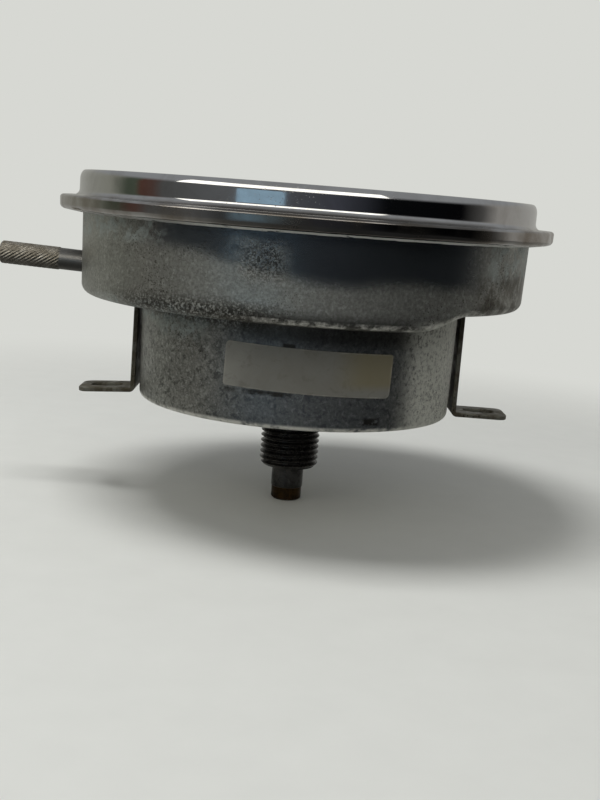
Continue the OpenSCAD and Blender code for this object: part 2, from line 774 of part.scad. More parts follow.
// Bracket of height h on the +X side
module bracket(h) color("#5c5647") difference() {
    translate([arm_out, strip_w / 2, 0]) rotate([90, 0, 0]) linear_extrude(strip_w) bracket_2d(h);
    straight = slot_l - slot_w;
    through = strip_t + 2 * overcut;
    for (dx = [-straight / 2, straight / 2])
        translate([slot_x + dx, 0, -overcut]) cylinder(d = slot_w, h = through);
    translate([slot_x - straight / 2, -slot_w / 2, -overcut]) cube([straight, slot_w, through]);
    translate([bracket_screw_x, 0, h - strip_t - overcut]) cylinder(r = screw_r + run, h = through);
    for (s = [0, 1]) mirror([0, s, 0])
        translate([arm_out + foot_l - foot_corner, strip_w / 2 - foot_corner, -overcut]) difference() {
            cube([foot_corner + overcut, foot_corner + overcut, strip_t + 2 * overcut]);
            translate([0, 0, -overcut]) cylinder(r = foot_corner, h = strip_t + 4 * overcut);
        }
}

module left_bracket() mirror([1, 0, 0]) bracket(floor_z);
module right_bracket() bracket(floor_z + floor_step);

module bracket_screws() color("#77756c")
    for (place = [[-bracket_screw_x, 0, floor_z], [bracket_screw_x, 0, floor_z + floor_step]])
        translate([place.x, place.y, place.z - strip_t]) rotate([180, 0, 0])
            screw(screw_head_r, screw_head_h, screw_r, strip_t + bracket_screw_in);

module rating_label() color("#b7b2a6") {
    low = label_z - label_h / 2;
    high = label_z + label_h / 2;
    span = label_w / low_r_at(label_z) * 180 / PI;
    rotate(label_angle - span / 2) rotate_extrude(angle = span) polygon([
        [low_r_at(low) + fix, low], [low_r_at(low) + fix + label_t, low],
        [low_r_at(high) + fix + label_t, high], [low_r_at(high) + fix, high]]);
}

module reset_bush() color("#a58b4a") along_stem() difference() {
    union() {
        translate([0, 0, -stem_bush_l]) cylinder(r = stem_bush_r, h = stem_bush_l - stem_bush_sunk);
        translate([0, 0, -stem_bush_l]) cylinder(r = stem_bush_flange_r, h = 1.7 * can_wall);
    }
    translate([0, 0, -4 * can_wall]) cylinder(d = stem_d + 2 * run, h = 5 * can_wall);
}

module drive_shaft() color("#9b9da0") difference() {
    worm_z = lay_z - drive_worm_l / 2;
    worm_top = lay_z + drive_worm_l / 2;
    low_end = tip_end + shaft_in;
    union() {
        translate([0, 0, low_end]) cylinder(r = drive_r, h = worm_z + overcut - low_end);
        translate([0, 0, nipple_flange_z + collar_gap]) cylinder(r = collar_r, h = collar_h);
        translate([0, 0, worm_z]) worm(drive_worm_r, first_m, drive_worm_l, 0);
        translate([0, 0, worm_top - overcut]) cylinder(r = drive_r, h = magnet_top - worm_top + overcut);
    }
    translate([-socket_w / 2, -socket_w / 2, tip_end - overcut])
        cube([socket_w, socket_w, socket_l + overcut]);
    translate([0, 0, magnet_top - pivot_l]) cylinder(r = spindle_r + run, h = pivot_l + overcut);
}

module magnet() color("#58595c") translate([0, 0, magnet_z]) ring(drive_r + fix, magnet_r, magnet_h);

module spindle() color("#a9abad") {
    low_end = magnet_top - pivot_l + pivot_gap;
    translate([0, 0, low_end]) cylinder(r = spindle_r, h = pointer_z + hub_h - low_end);
    translate([0, 0, hair_z - loose]) cylinder(r = collet_r, h = hair_h + 2 * loose);
}

module speed_cup() color("#c3c6c9") translate([0, 0, cup_top - cup_h]) {
    ring(cup_r - cup_t, cup_r, cup_h);
    translate([0, 0, cup_h - cup_t]) ring(spindle_r + fix, cup_r - cup_t + fix, cup_t);
}

module pointer() color("#c8c5bb") {
    translate([0, 0, pointer_z]) ring(spindle_r + fix, hub_r, hub_h);
    root = hub_r - hub_lap;
    neck = pointer_l - blade_tip_l;
    rotate(zero_angle) translate([0, 0, blade_z]) linear_extrude(blade_t) {
        polygon([[root, -blade_root_w / 2], [neck, -blade_tip_w / 2], [pointer_l, 0],
                 [neck, blade_tip_w / 2], [root, blade_root_w / 2]]);
        polygon([[-root, -blade_root_w / 2], [-pointer_tail, -blade_tail_w / 2],
                 [-pointer_tail, blade_tail_w / 2], [-root, blade_root_w / 2]]);
    }
}

module pointer_cap() color("#1b1b1c") translate([0, 0, pointer_z + hub_h]) rotate_extrude()
    polygon(concat([[0, 0]], arc([hub_r - cap_h, 0], cap_h, 0, 90), [[0, cap_h]]));

module lay_shaft() color("#9b9da0") {
    worm_from = count_y - lay_worm_l / 2;
    worm_to = count_y + lay_worm_l / 2;
    end = bearing_y + bearing_t / 2 - loose;
    along_y([lay_x, -worm_from, lay_z]) cylinder(r = lay_shaft_r, h = 2 * worm_from);
    for (y = [worm_to, -end]) along_y([lay_x, y, lay_z]) cylinder(r = lay_shaft_r, h = end - worm_to);
    for (s = [-1, 1])
        along_y([lay_x, s * count_y - lay_worm_l / 2, lay_z])
            worm(lay_worm_r, second_m, lay_worm_l, -90);
}

module first_wheel() color("#b89a52") along_y([lay_x, -first_w / 2, lay_z]) difference() {
    union() {
        linear_extrude(first_w) worm_wheel_2d(first_n, first_m, 180);
        translate([0, 0, -first_hub_over]) cylinder(r = first_hub_r, h = first_w + 2 * first_hub_over);
    }
    translate([0, 0, -2 * first_hub_over]) cylinder(r = lay_shaft_r + fix, h = first_w + 4 * first_hub_over);
}

// Outline of a wheel that runs in a worm
module worm_wheel_2d(n, m, phase) gear_2d(n, m, phase, worm_tip * m, worm_root * m, worm_share);

// Idler of the counter on the side s: worm wheel, shaft and spur pinion in one piece
module idler(s) color("#b89a52") {
    y = s * count_y;
    along_x([-cheek_out - shaft_over, y, idler_z])
        cylinder(r = idler_shaft_r, h = cheek_out + shaft_over + lay_x + second_w / 2 + idler_over);
    along_x([lay_x - second_w / 2, y, idler_z])
        linear_extrude(second_w) worm_wheel_2d(second_n, second_m, -90);
    along_x([spur_x, y, idler_z]) linear_extrude(spur_w) spur_2d(spur_n, 90);
}

// Outline of a counter gear
module spur_2d(n, phase) gear_2d(n, spur_m, phase, spur_tip, spur_root);

// Drum i of the counter of n drums on the side s
module drum(i, n, s) color("#e4e1d6") {
    x = drum_x(i, n);
    y = s * count_y;
    along_x([0, y, drum_z]) difference() {
        union() {
            translate([0, 0, x - drum_w / 2]) cylinder(r = drum_r, h = drum_w);
            if (i == 1) {
                translate([0, 0, x]) cylinder(r = drum_hub_r, h = spur_x - x);
                translate([0, 0, spur_x]) linear_extrude(spur_w) spur_2d(drum_n, 180 / drum_n - 90);
            }
            else
                translate([0, 0, x + drum_w / 2]) linear_extrude(ring_w) spur_2d(drum_n, 0);
        }
        translate([0, 0, -cheek_x]) cylinder(r = count_shaft_r + run, h = 2 * cheek_x);
    }
}

// Transfer pinion between drums i and i + 1 of the counter of n drums on the side s
module pinion(i, n, s) color("#d0cdbf") {
    x = (drum_x(i, n) + drum_x(i + 1, n)) / 2 - pinion_w / 2;
    along_x([x, s * (count_y + pinion_d), drum_z]) difference() {
        linear_extrude(pinion_w) spur_2d(pinion_n, 90 + s * 90 + 180 / pinion_n);
        translate([0, 0, -overcut]) cylinder(r = pinion_shaft_r + run, h = pinion_w + 2 * overcut);
    }
}

module reset_knob() color("#6a665c") along_stem() {
    end_round = 0.8;
    cap_step = 0.1;
    root_r = knurl_d / 2 - knurl_depth;
    cap_r = root_r - cap_step;
    stem_in = reset_in + reset_w / 2 + stem_over;
    translate([0, 0, -stem_in]) cylinder(d = stem_d, h = stem_in);
    cylinder(d = neck_d, h = neck_l);
    translate([0, 0, neck_l]) linear_extrude(knurl_l - end_round)
        polygon([for (k = [0:2 * knurl_n - 1])
            polar(k % 2 == 0 ? knurl_d / 2 : root_r, 180 * k / knurl_n)]);
    translate([0, 0, neck_l + knurl_l - end_round]) rotate_extrude()
        polygon(concat([[0, 0]], arc([cap_r - end_round, 0], end_round, 0, 90), [[0, end_round]]));
}

// Outline of a gear of the trip reset
module reset_gear_2d(n, phase) gear_2d(n, reset_m, phase, reset_tip, reset_root);

module reset_gear() color("#b89a52")
    along_stem() translate([0, 0, -reset_in - reset_w / 2]) difference() {
        linear_extrude(reset_w) reset_gear_2d(knob_n, 90 - reset_dir);
        translate([0, 0, -overcut]) cylinder(d = stem_d + 2 * fix, h = reset_w + 2 * overcut);
    }

module reset_idler() color("#b89a52")
    along_x([reset_gear_x - reset_w / 2, reset_idler_y, reset_idler_z]) difference() {
        linear_extrude(reset_w) reset_gear_2d(reset_idler_n, reset_dir);
        translate([0, 0, -overcut]) cylinder(r = reset_stud_r + run, h = reset_w + 2 * overcut);
    }

module trip_shaft() color("#a9abad") {
    from = reset_gear_x - reset_w / 2 - shaft_over;
    along_x([from, -count_y, drum_z]) cylinder(r = count_shaft_r, h = cheek_out + shaft_over - from);
}

module trip_reset_gear() color("#b89a52")
    along_x([reset_gear_x - reset_w / 2, -count_y, drum_z]) difference() {
        linear_extrude(reset_w) reset_gear_2d(knob_n, reset_dir + 180 + 180 / knob_n);
        translate([0, 0, -overcut]) cylinder(r = count_shaft_r + fix, h = reset_w + 2 * overcut);
    }

housing();
bezel();
lens();
lens_gasket();
dial_ring();
dial();
dial_screws();
stop_pin();
cable_nipple();
drive_bush();
movement_frame();
frame_screws();
bridge_pillars();
spindle_bridge();
bridge_screws();
field_cup();
field_cup_posts();
hairspring();
hairspring_stud();
total_shaft();
pinion_shaft(1);  // total_pinion_shaft
pinion_shaft(-1);  // trip_pinion_shaft
lay_shaft_bearings();
left_bracket();
right_bracket();
bracket_screws();
rating_label();
reset_bush();
drive_shaft();
magnet();
spindle();
speed_cup();
pointer();
pointer_cap();
lay_shaft();
first_wheel();
idler(1);  // total_idler
idler(-1);  // trip_idler
reset_knob();
reset_gear();
reset_idler();
trip_shaft();
trip_reset_gear();
for (i = [1:total_n]) drum(i, total_n, 1);
for (i = [1:trip_n]) drum(i, trip_n, -1);
for (i = [1:total_n - 1]) pinion(i, total_n, 1);
for (i = [1:trip_n - 1]) pinion(i, trip_n, -1);
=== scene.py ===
# %% [markdown]
# # Dressing a vintage speedometer
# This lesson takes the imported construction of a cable-driven speedometer and gives it its looks: worn
# chrome, a pitted die-cast case, olive-brown brackets, a threaded nipple and a plain numbered dial under
# glass. The construction is loaded as a fixed frame. Nothing in it is moved: a piece is either given a
# better material, or hidden and replaced by a finer mesh in the same place.

# %% Load the frame
import json
import math
from functools import reduce
import bmesh
import bpy
from mathutils import Matrix, Vector


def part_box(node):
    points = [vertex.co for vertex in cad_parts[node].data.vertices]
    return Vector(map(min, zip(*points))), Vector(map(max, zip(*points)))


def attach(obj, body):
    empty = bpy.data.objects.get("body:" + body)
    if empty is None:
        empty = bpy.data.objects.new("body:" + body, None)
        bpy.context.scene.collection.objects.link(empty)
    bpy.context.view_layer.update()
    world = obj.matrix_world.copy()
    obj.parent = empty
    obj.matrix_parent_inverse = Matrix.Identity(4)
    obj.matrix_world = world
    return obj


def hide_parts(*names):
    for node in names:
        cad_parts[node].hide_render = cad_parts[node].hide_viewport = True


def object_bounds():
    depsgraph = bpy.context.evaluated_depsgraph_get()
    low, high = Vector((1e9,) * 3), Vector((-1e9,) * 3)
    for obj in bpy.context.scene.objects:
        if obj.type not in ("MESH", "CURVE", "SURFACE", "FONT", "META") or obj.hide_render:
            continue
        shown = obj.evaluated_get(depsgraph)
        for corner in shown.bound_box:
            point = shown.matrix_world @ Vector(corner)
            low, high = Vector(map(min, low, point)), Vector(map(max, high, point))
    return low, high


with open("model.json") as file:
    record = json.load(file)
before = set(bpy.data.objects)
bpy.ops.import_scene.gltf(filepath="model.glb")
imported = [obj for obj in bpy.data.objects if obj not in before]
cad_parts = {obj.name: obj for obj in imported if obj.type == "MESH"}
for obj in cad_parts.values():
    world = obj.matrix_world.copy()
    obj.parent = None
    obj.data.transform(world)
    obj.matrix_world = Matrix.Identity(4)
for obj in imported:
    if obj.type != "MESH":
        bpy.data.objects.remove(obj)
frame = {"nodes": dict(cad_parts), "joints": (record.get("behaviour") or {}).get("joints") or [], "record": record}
cad_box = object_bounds()
mm = 0.001
scene = bpy.context.scene
scene.view_settings.view_transform = "Standard"

# %% [markdown]
# ## The camera
# The photograph looks at the instrument from the front and close up. The eye is about as high as the
# glass and looks slightly down, with the camera a little rolled. A camera can be aimed with a Track To
# constraint, but a constraint can't hold a roll, so the matrix is written from three angles. The focal
# length is known in pixels of an image 600 wide and 800 high.

# %% Camera
eye = Vector((-3.07, -306.6, 53.65)) * mm
pitch, yaw, roll = math.radians(9.86), math.radians(0.927), math.radians(4.513)
focal_px, image_h, sensor_w = 1141.26, 800, 36
ahead = Vector((math.sin(yaw) * math.cos(pitch), math.cos(yaw) * math.cos(pitch), -math.sin(pitch)))
level = ahead.cross(Vector((0, 0, 1))).normalized()
overhead = level.cross(ahead)
right = math.cos(roll) * level + math.sin(roll) * overhead
up = math.cos(roll) * overhead - math.sin(roll) * level
camera = bpy.data.objects.new("camera", bpy.data.cameras.new("camera"))
camera.data.sensor_width = sensor_w
camera.data.lens = focal_px * sensor_w / image_h
camera.data.clip_start = 10 * mm
camera.matrix_world = Matrix.Translation(eye) @ Matrix((right, up, -ahead)).transposed().to_4x4()
scene.collection.objects.link(camera)
scene.camera = camera
print("lens:", round(camera.data.lens, 2), "mm")

# %% [markdown]
# ## Small helpers for node trees
# Every finish below is a node tree. Trees can be drawn by hand in the shader editor, but nearly thirty of
# them are quicker to read as text. These helpers keep the text short: they add a node and fill its
# sockets, multiply masks, cut noise into spots, lay coats of colour over each other, or turn a colour
# picked on a screen into a linear one. A socket takes a number, a colour, or another node's output, which
# is then linked. Most helpers find their tree by themselves, because an output knows the tree that it is
# in.

# %% Helpers for single nodes
def screen(r, g, b):
    """A linear colour from screen values of 0 to 255."""
    shares = (r / 255, g / 255, b / 255)
    linear = [c / 12.92 if c <= 0.04045 else ((c + 0.055) / 1.055) ** 2.4 for c in shares]
    return (*linear, 1)


def plug(socket, value):
    """Links an output to a socket, or sets the socket to a plain value."""
    if isinstance(value, bpy.types.NodeSocket):
        socket.id_data.links.new(value, socket)
    else:
        socket.default_value = value


def add(tree, kind, sockets=None, **settings):
    """A new node of that kind, with its settings, and with sockets set to values or linked to outputs."""
    node = tree.nodes.new(kind)
    for key, value in settings.items():
        setattr(node, key, value)
    for key, value in (sockets or {}).items():
        plug(node.inputs[key], value)
    return node


def maths(operation, a, b=0.0):
    """The output of a Math node, in the tree of the output that is one of its two values."""
    tree = (a if isinstance(a, bpy.types.NodeSocket) else b).id_data
    return add(tree, "ShaderNodeMath", {0: a, 1: b}, operation=operation).outputs[0]


def between(value, low, high, out_low=0.0, out_high=1.0):
    """A smooth step of value, from out_low at low to out_high at high."""
    sockets = {"Value": value, "From Min": low, "From Max": high, "To Min": out_low, "To Max": out_high}
    step = add(value.id_data, "ShaderNodeMapRange", sockets, interpolation_type="SMOOTHSTEP")
    return step.outputs["Result"]


def blend(share, a, b):
    """The output of a colour mix. On a Mix node the sockets 6 and 7 are its colours."""
    sockets = {0: share, 6: a, 7: b}
    return add(share.id_data, "ShaderNodeMix", sockets, data_type="RGBA", clamp_factor=True).outputs[2]


def noise(place, scale, detail=4.0, rough=0.55, distortion=0.0):
    """The grey output of a Noise texture."""
    sockets = {"Vector": place, "Scale": scale, "Detail": detail, "Roughness": rough}
    sockets["Distortion"] = distortion
    return add(place.id_data, "ShaderNodeTexNoise", sockets).outputs["Fac"]


def here(tree):
    """Places on the piece, in metres."""
    return add(tree, "ShaderNodeTexCoord").outputs["Object"]


def axes(vector):
    """The X, Y and Z of a vector."""
    return add(vector.id_data, "ShaderNodeSeparateXYZ", {0: vector}).outputs


def facing_up(tree):
    """How far a spot faces up: the Z of its normal."""
    return axes(add(tree, "ShaderNodeNewGeometry").outputs["Normal"])[2]


print("helpers for single nodes are ready")

# %% [markdown]
# The next helpers put several nodes together. A mask is a number from 0 to 1 that says how much of an
# effect there is at a spot, so masks can be multiplied, or the largest of them taken.

# %% Helpers for masks and coats
def times(*masks):
    """The product of several masks."""
    return reduce(lambda a, b: maths("MULTIPLY", a, b), masks)


def most(*masks):
    """The largest of several masks."""
    return reduce(lambda a, b: maths("MAXIMUM", a, b), masks)


def hill(value, low, high, soft):
    """One between low and high, falling to nothing over a soft margin outside them."""
    return times(between(value, low - soft, low), between(value, high + soft, high))


def spots(place, scale, detail, rough, low, high):
    """Noise that is cut between two levels."""
    return between(noise(place, scale, detail, rough), low, high)


def coats(colour, *layers):
    """A colour under several coats, each of them a mask, its share and a screen colour."""
    for mask, share, tone in layers:
        colour = blend(times(mask, share), colour, screen(*tone))
    return colour


def new_material(name, **shader):
    """A new material with plain values on its Principled shader; its tree and that shader come with it."""
    material = bpy.data.materials.new(name)
    material.use_nodes = True
    tree = material.node_tree
    body = tree.nodes["Principled BSDF"]
    for key, value in shader.items():
        body.inputs[key.replace("_", " ")].default_value = value
    return material, tree, body


def feed(body, **outputs):
    """Links outputs to a node's sockets of those names."""
    for key, output in outputs.items():
        plug(body.inputs[key.replace("_", " ")], output)


def mix_looks(share, a, b):
    """A node that mixes the shaders of two others."""
    return add(share.id_data, "ShaderNodeMixShader", {0: share, 1: a.outputs[0], 2: b.outputs[0]})


def plain_rays(tree):
    """The kinds of ray, and a mask of those from the camera or through glass, which see no cards."""
    rays = add(tree, "ShaderNodeLightPath").outputs
    return rays, most(rays["Is Camera Ray"], rays["Is Transmission Ray"])


print("helpers for masks and coats are ready")

# %% [markdown]
# ## Light and surroundings
# Chrome is a mirror: it looks like what stands round it. A studio photographer places cards and windows;
# here the world itself holds them. Two rings of cards give each compass direction a colour, one level
# with the chrome and one below it: pale behind the instrument, dark in front where the camera stands. A
# small window and a bright strip above it are cards too, and higher up all of it fades into a ceiling.
# Matt surfaces see a plain grey dome instead, and the camera sees a plain pale background, so the cards
# are never in the picture.

# %% World
background, ceiling = screen(215, 216, 211), screen(150, 152, 154)
level_cards = [
    (-180, (170, 170, 165)), (-112, (140, 140, 130)), (-98, (75, 82, 70)), (-92, (75, 82, 70)),
    (-88, (86, 60, 52)), (-80, (84, 66, 60)), (-74, (85, 86, 85)), (-35, (100, 102, 104)),
    (12, (68, 70, 78)), (36, (10, 12, 14)), (78, (8, 8, 10)), (92, (82, 81, 79)),
    (104, (152, 149, 144)), (180, (175, 175, 170))]
low_cards = [
    (-180, (170, 170, 165)), (-110, (150, 150, 145)), (-70, (122, 121, 116)), (-20, (112, 114, 114)),
    (16, (72, 74, 76)), (88, (58, 58, 58)), (112, (112, 111, 107)), (180, (170, 170, 165))]
window, window_colour = (-34, -12, -0.08, 0.15), screen(155, 185, 205)
strip, strip_colour = (-68, 38, 0.33, 0.62), (2.2, 2.15, 2.0, 1)
card_soft, card_side = 0.03, math.radians(1)
dome_low, dome_high = screen(70, 72, 74), screen(155, 156, 157)
low_fade, ceiling_fade, dome_fade = (-0.13, -0.09), (0.2, 0.5), (0.0, 0.8)
world = bpy.data.worlds.new("studio")
world.use_nodes = True
scene.world = world
tree = world.node_tree
way_x, way_y, way_z = axes(add(tree, "ShaderNodeTexCoord").outputs["Generated"])
compass = maths("ARCTAN2", way_x, times(way_y, -1))
round_share = add(tree, "ShaderNodeMapRange", {"Value": compass, "From Min": -math.pi, "From Max": math.pi})


def ring_of_cards(stops):
    """Colours all round the compass, from degrees and screen colours."""
    ramp = add(tree, "ShaderNodeValToRGB", {0: round_share.outputs[0]})
    for degrees, colour in stops[1:-1]:
        ramp.color_ramp.elements.new((degrees + 180) / 360).color = screen(*colour)
    ramp.color_ramp.elements[0].color = screen(*stops[0][1])
    ramp.color_ramp.elements[-1].color = screen(*stops[-1][1])
    return ramp.outputs[0]


def card(west, east, low, high):
    """Mask of a card between two compass degrees and two heights, which are sines of the elevation."""
    across = hill(compass, math.radians(west), math.radians(east), card_side)
    return times(across, hill(way_z, low, high, card_soft))


room = blend(between(way_z, *low_fade), ring_of_cards(low_cards), ring_of_cards(level_cards))
room = blend(card(*window), room, window_colour)
room = blend(between(way_z, *ceiling_fade), room, ceiling)
room = blend(card(*strip), room, strip_colour)
dome = blend(between(way_z, *dome_fade), dome_low, dome_high)
rays, plain = plain_rays(tree)
lit = blend(rays["Is Diffuse Ray"], room, dome)
feed(tree.nodes["Background"], Color=blend(plain, lit, background))
print("cards in the surroundings:", len(level_cards) + len(low_cards) + 2)

# %% [markdown]
# One lamp hangs overhead, a little in front and to the left. Its size makes the shadow's edge soft, and
# its strength is set so that the table comes out of the render about as pale as its own colour. Metal and
# glass don't mirror the lamp, since they have the cards. The table is a round disc. Towards its edge it
# turns into the plain background for the camera, so no horizon shows from any side. Metal sees only the
# middle of the table, or its glare would wash out the dark cards in front, and matt surfaces see a little
# more of it.

# %% Lamp and table
def solid(name, shape):
    """An object in the scene from a finished bmesh."""
    mesh = bpy.data.meshes.new(name)
    shape.to_mesh(mesh)
    shape.free()
    made = bpy.data.objects.new(name, mesh)
    scene.collection.objects.link(made)
    return made


lamp_w, lamp_d, lamp_power, lamp_spot = 0.3, 0.2, 3.75, (-0.19, -0.08, 0.72)
lamp = bpy.data.objects.new("overhead_lamp", bpy.data.lights.new("overhead_lamp", "AREA"))
lamp.data.shape, lamp.data.size, lamp.data.size_y = "RECTANGLE", lamp_w, lamp_d
lamp.data.energy = lamp_power
lamp.location = lamp_spot
lamp.visible_glossy = False
lamp.visible_transmission = False
lamp.visible_camera = False
scene.collection.objects.link(lamp)

table_z, table_r, table_steps = cad_box[0][2], 0.36, 96
metal_sees, matt_sees, camera_sees = (0.03, 0.07), (0.06, 0.16), (0.16, 0.33)
disc = bmesh.new()
bmesh.ops.create_circle(disc, cap_ends=True, segments=table_steps, radius=table_r)
table = solid("table", disc)
table.location.z = table_z
table_paint, tree, body = new_material("pale_table", Roughness=0.6, Specular_IOR_Level=0.25)
place = here(tree)
tones = blend(noise(place, 90, 5), screen(216, 217, 212), screen(223, 224, 219))
feed(body, Base_Color=tones)
away = add(tree, "ShaderNodeVectorMath", {0: place}, operation="LENGTH").outputs["Value"]
near, lifted, far = [between(away, *reach) for reach in (metal_sees, matt_sees, camera_sees)]
rays, plain = plain_rays(tree)
unseen = add(tree, "ShaderNodeMix", {0: rays["Is Diffuse Ray"], 2: near, 3: lifted})
edge = add(tree, "ShaderNodeMix", {0: plain, 2: unseen.outputs[0], 3: far})
glow = add(tree, "ShaderNodeEmission", {"Color": background})
gone = add(tree, "ShaderNodeBsdfTransparent")
mixed = mix_looks(edge.outputs[0], body, mix_looks(plain, gone, glow))
feed(tree.nodes["Material Output"], Surface=mixed.outputs[0])
table.data.materials.append(table_paint)
print("table at", round(table_z / mm, 2), "mm")

# %% [markdown]
# ## Wear that many finishes share
# Metal that has lain about for fifty years has pits, blotches, rubbed edges, fine scratches and dust.
# Each could be drawn again in every material, but then they would drift apart. A shader node group is
# built once and placed with its own values, like a stencil used on many pieces. Every group here puts out
# one mask.

# %% Group helpers
def new_group(name, **inputs):
    """A shader node group: its tree, what its inputs give, and the socket for its mask."""
    tree = bpy.data.node_groups.new(name, "ShaderNodeTree")
    for socket, value in inputs.items():
        made = tree.interface.new_socket(socket, in_out="INPUT", socket_type="NodeSocketFloat")
        made.default_value = value
    tree.interface.new_socket("Mask", in_out="OUTPUT", socket_type="NodeSocketFloat")
    return tree, tree.nodes.new("NodeGroupInput").outputs, tree.nodes.new("NodeGroupOutput").inputs["Mask"]


def use(tree, group, **values):
    """Places a group in a material with its own values and gives its mask."""
    return add(tree, "ShaderNodeGroup", values, node_tree=group).outputs["Mask"]


def fineness(size):
    """The scale of a texture whose features have that size in millimetres."""
    return maths("DIVIDE", 1 / mm, size)


print("group helpers are ready")

# %% [markdown]
# Pits are small round holes of many sizes. A Voronoi texture gives one dot per cell, and a slow noise
# decides where the dots are large, so they come in clusters instead of as an even pattern.

# %% Pitting
pitting, given, mask = new_group("pitting", Size=0.6, Amount=0.5)
place = here(pitting)
cells = add(pitting, "ShaderNodeTexVoronoi", {"Vector": place, "Scale": fineness(given["Size"])})
cell_size = add(pitting, "ShaderNodeSeparateColor", {0: cells.outputs["Color"]}).outputs[0]
crowded = between(noise(place, 70, 3), 0.36, 0.7, 0.05, 1.0)
pit_r = times(cell_size, crowded, given["Amount"])
pit = between(maths("SUBTRACT", pit_r, cells.outputs["Distance"]), 0.0, 0.12)
plug(mask, pit)
print("group:", pitting.name)

# %% [markdown]
# Blotches are where dirt, oxide or old handling have changed the surface. A noise with many octaves is
# cut between two levels: the closer the levels, the harder the edge of a blotch.

# %% Blotches
blotches, given, mask = new_group("blotches", Size=10, Low=0.45, High=0.6)
field = noise(here(blotches), fineness(given["Size"]), 7, 0.66, 0.5)
plug(mask, between(field, given["Low"], given["High"]))
print("group:", blotches.name)

# %% [markdown]
# Edges are rubbed bright. A Bevel node gives the normal that the piece would have with rounded edges, and
# where that differs from the true normal there is an edge. A little noise breaks the line, as real wear
# does.

# %% Edge wear
edge_wear, given, mask = new_group("edge_wear", Width=0.5, Breaks=0.4)
soft = add(edge_wear, "ShaderNodeBevel", {"Radius": times(given["Width"], mm)}, samples=6)
true = add(edge_wear, "ShaderNodeNewGeometry").outputs["Normal"]
same = add(edge_wear, "ShaderNodeVectorMath", {0: soft.outputs[0], 1: true}, operation="DOT_PRODUCT")
line = between(same.outputs["Value"], 0.985, 0.88)
broken = between(noise(here(edge_wear), 420), given["Breaks"], 0.72)
plug(mask, times(line, broken))
print("group:", edge_wear.name)

# %% [markdown]
# Scratches are thin lines in one direction. A noise that is squeezed along one axis gives long streaks,
# and only its middle level is kept, which leaves fine lines.

# %% Scratches
scratches, given, mask = new_group("scratches", Size=2, Squeeze=14, Width=0.02)
x, y, z = axes(here(scratches))
squeezed = add(scratches, "ShaderNodeCombineXYZ", {0: x, 1: y, 2: times(z, given["Squeeze"])})
streaks = noise(squeezed.outputs[0], fineness(given["Size"]), 3)
middle = maths("ABSOLUTE", maths("SUBTRACT", streaks, 0.5))
plug(mask, between(middle, given["Width"], 0.0))
print("group:", scratches.name)

# %% [markdown]
# Dust settles on what faces up. The Z of the normal says how far a spot faces up, and noise makes it
# patchy.

# %% Dust
dust, given, mask = new_group("dust", Size=6, Amount=0.5)
upward = between(facing_up(dust), 0.3, 1.0)
patchy = between(noise(here(dust), fineness(given["Size"]), 6), 0.35, 0.75)
plug(mask, times(upward, patchy, given["Amount"]))
print("group:", dust.name)

# %% [markdown]
# ## A general recipe for metal
# Most pieces inside the case are plain brass, steel or iron. They share one recipe: two tones of the
# metal in blotches, dark pits, pale rubbed edges, and a roughness that follows the blotches. Each metal
# gets its own colours and sizes, so the recipe is a function with parameters.

# %% Metal recipe
finishes = {}


def finish(slot, **shader):
    """A new material, kept under the name of the record's slot."""
    finishes[slot], tree, body = new_material(slot, **shader)
    return tree, body


def bump(body, height, depth, strength, after=None):
    """Feeds a height through a Bump node of that depth, in millimetres, to the shader's Normal."""
    sockets = {"Height": height, "Distance": depth * mm, "Strength": strength}
    if after is not None:
        sockets["Normal"] = after
    relief = add(body.id_data, "ShaderNodeBump", sockets).outputs[0]
    feed(body, Normal=relief)
    return relief


def metal(slot, light, dark, worn_tone, rough=(0.3, 0.5), patch=4.0, pit_size=0.5, pit_amount=0.35):
    """Brass, steel or iron with blotches, pits and rubbed edges, from three screen colours."""
    tree, body = finish(slot, Metallic=0.95)
    patches = use(tree, blotches, Size=patch, Low=0.38, High=0.66)
    pits = use(tree, pitting, Size=pit_size, Amount=pit_amount)
    worn = use(tree, edge_wear, Width=0.25, Breaks=0.3)
    lines = use(tree, scratches, Size=1.2, Squeeze=0.1, Width=0.025)
    colour = blend(patches, screen(*light), screen(*dark))
    colour = coats(colour, (lines, 0.25, worn_tone), (worn, 1, worn_tone))
    pit_tone = tuple(0.3 * c for c in screen(*dark)[:3]) + (1,)
    colour = blend(times(pits, 0.7), colour, pit_tone)
    feed(body, Base_Color=colour, Roughness=between(patches, 0, 1, *rough))
    bump(body, maths("SUBTRACT", lines, pits), 0.05, 0.4)


metal("frame_brass", (205, 180, 120), (150, 122, 70), (232, 212, 160))
metal("gear_brass", (212, 182, 108), (160, 128, 66), (240, 218, 160), patch=3)
metal("bush_brass", (60, 44, 24), (32, 25, 17), (88, 68, 42), (0.35, 0.55), 2.2, 0.4, 0.5)
metal("shaft_steel", (196, 197, 198), (150, 150, 150), (226, 226, 226), (0.2, 0.35))
metal("screw_steel", (172, 168, 160), (112, 104, 94), (214, 210, 200), patch=1.5)
metal("field_iron", (128, 128, 128), (84, 80, 76), (176, 174, 170), (0.4, 0.6))
metal("magnet_iron", (98, 98, 102), (66, 64, 64), (140, 140, 142), (0.45, 0.6))
metal("spring_steel", (120, 134, 170), (80, 86, 120), (190, 198, 220), (0.2, 0.3), 2)
metal("cup_aluminium", (216, 217, 218), (186, 187, 188), (236, 236, 236), (0.25, 0.4))
print("metals:", len(finishes))
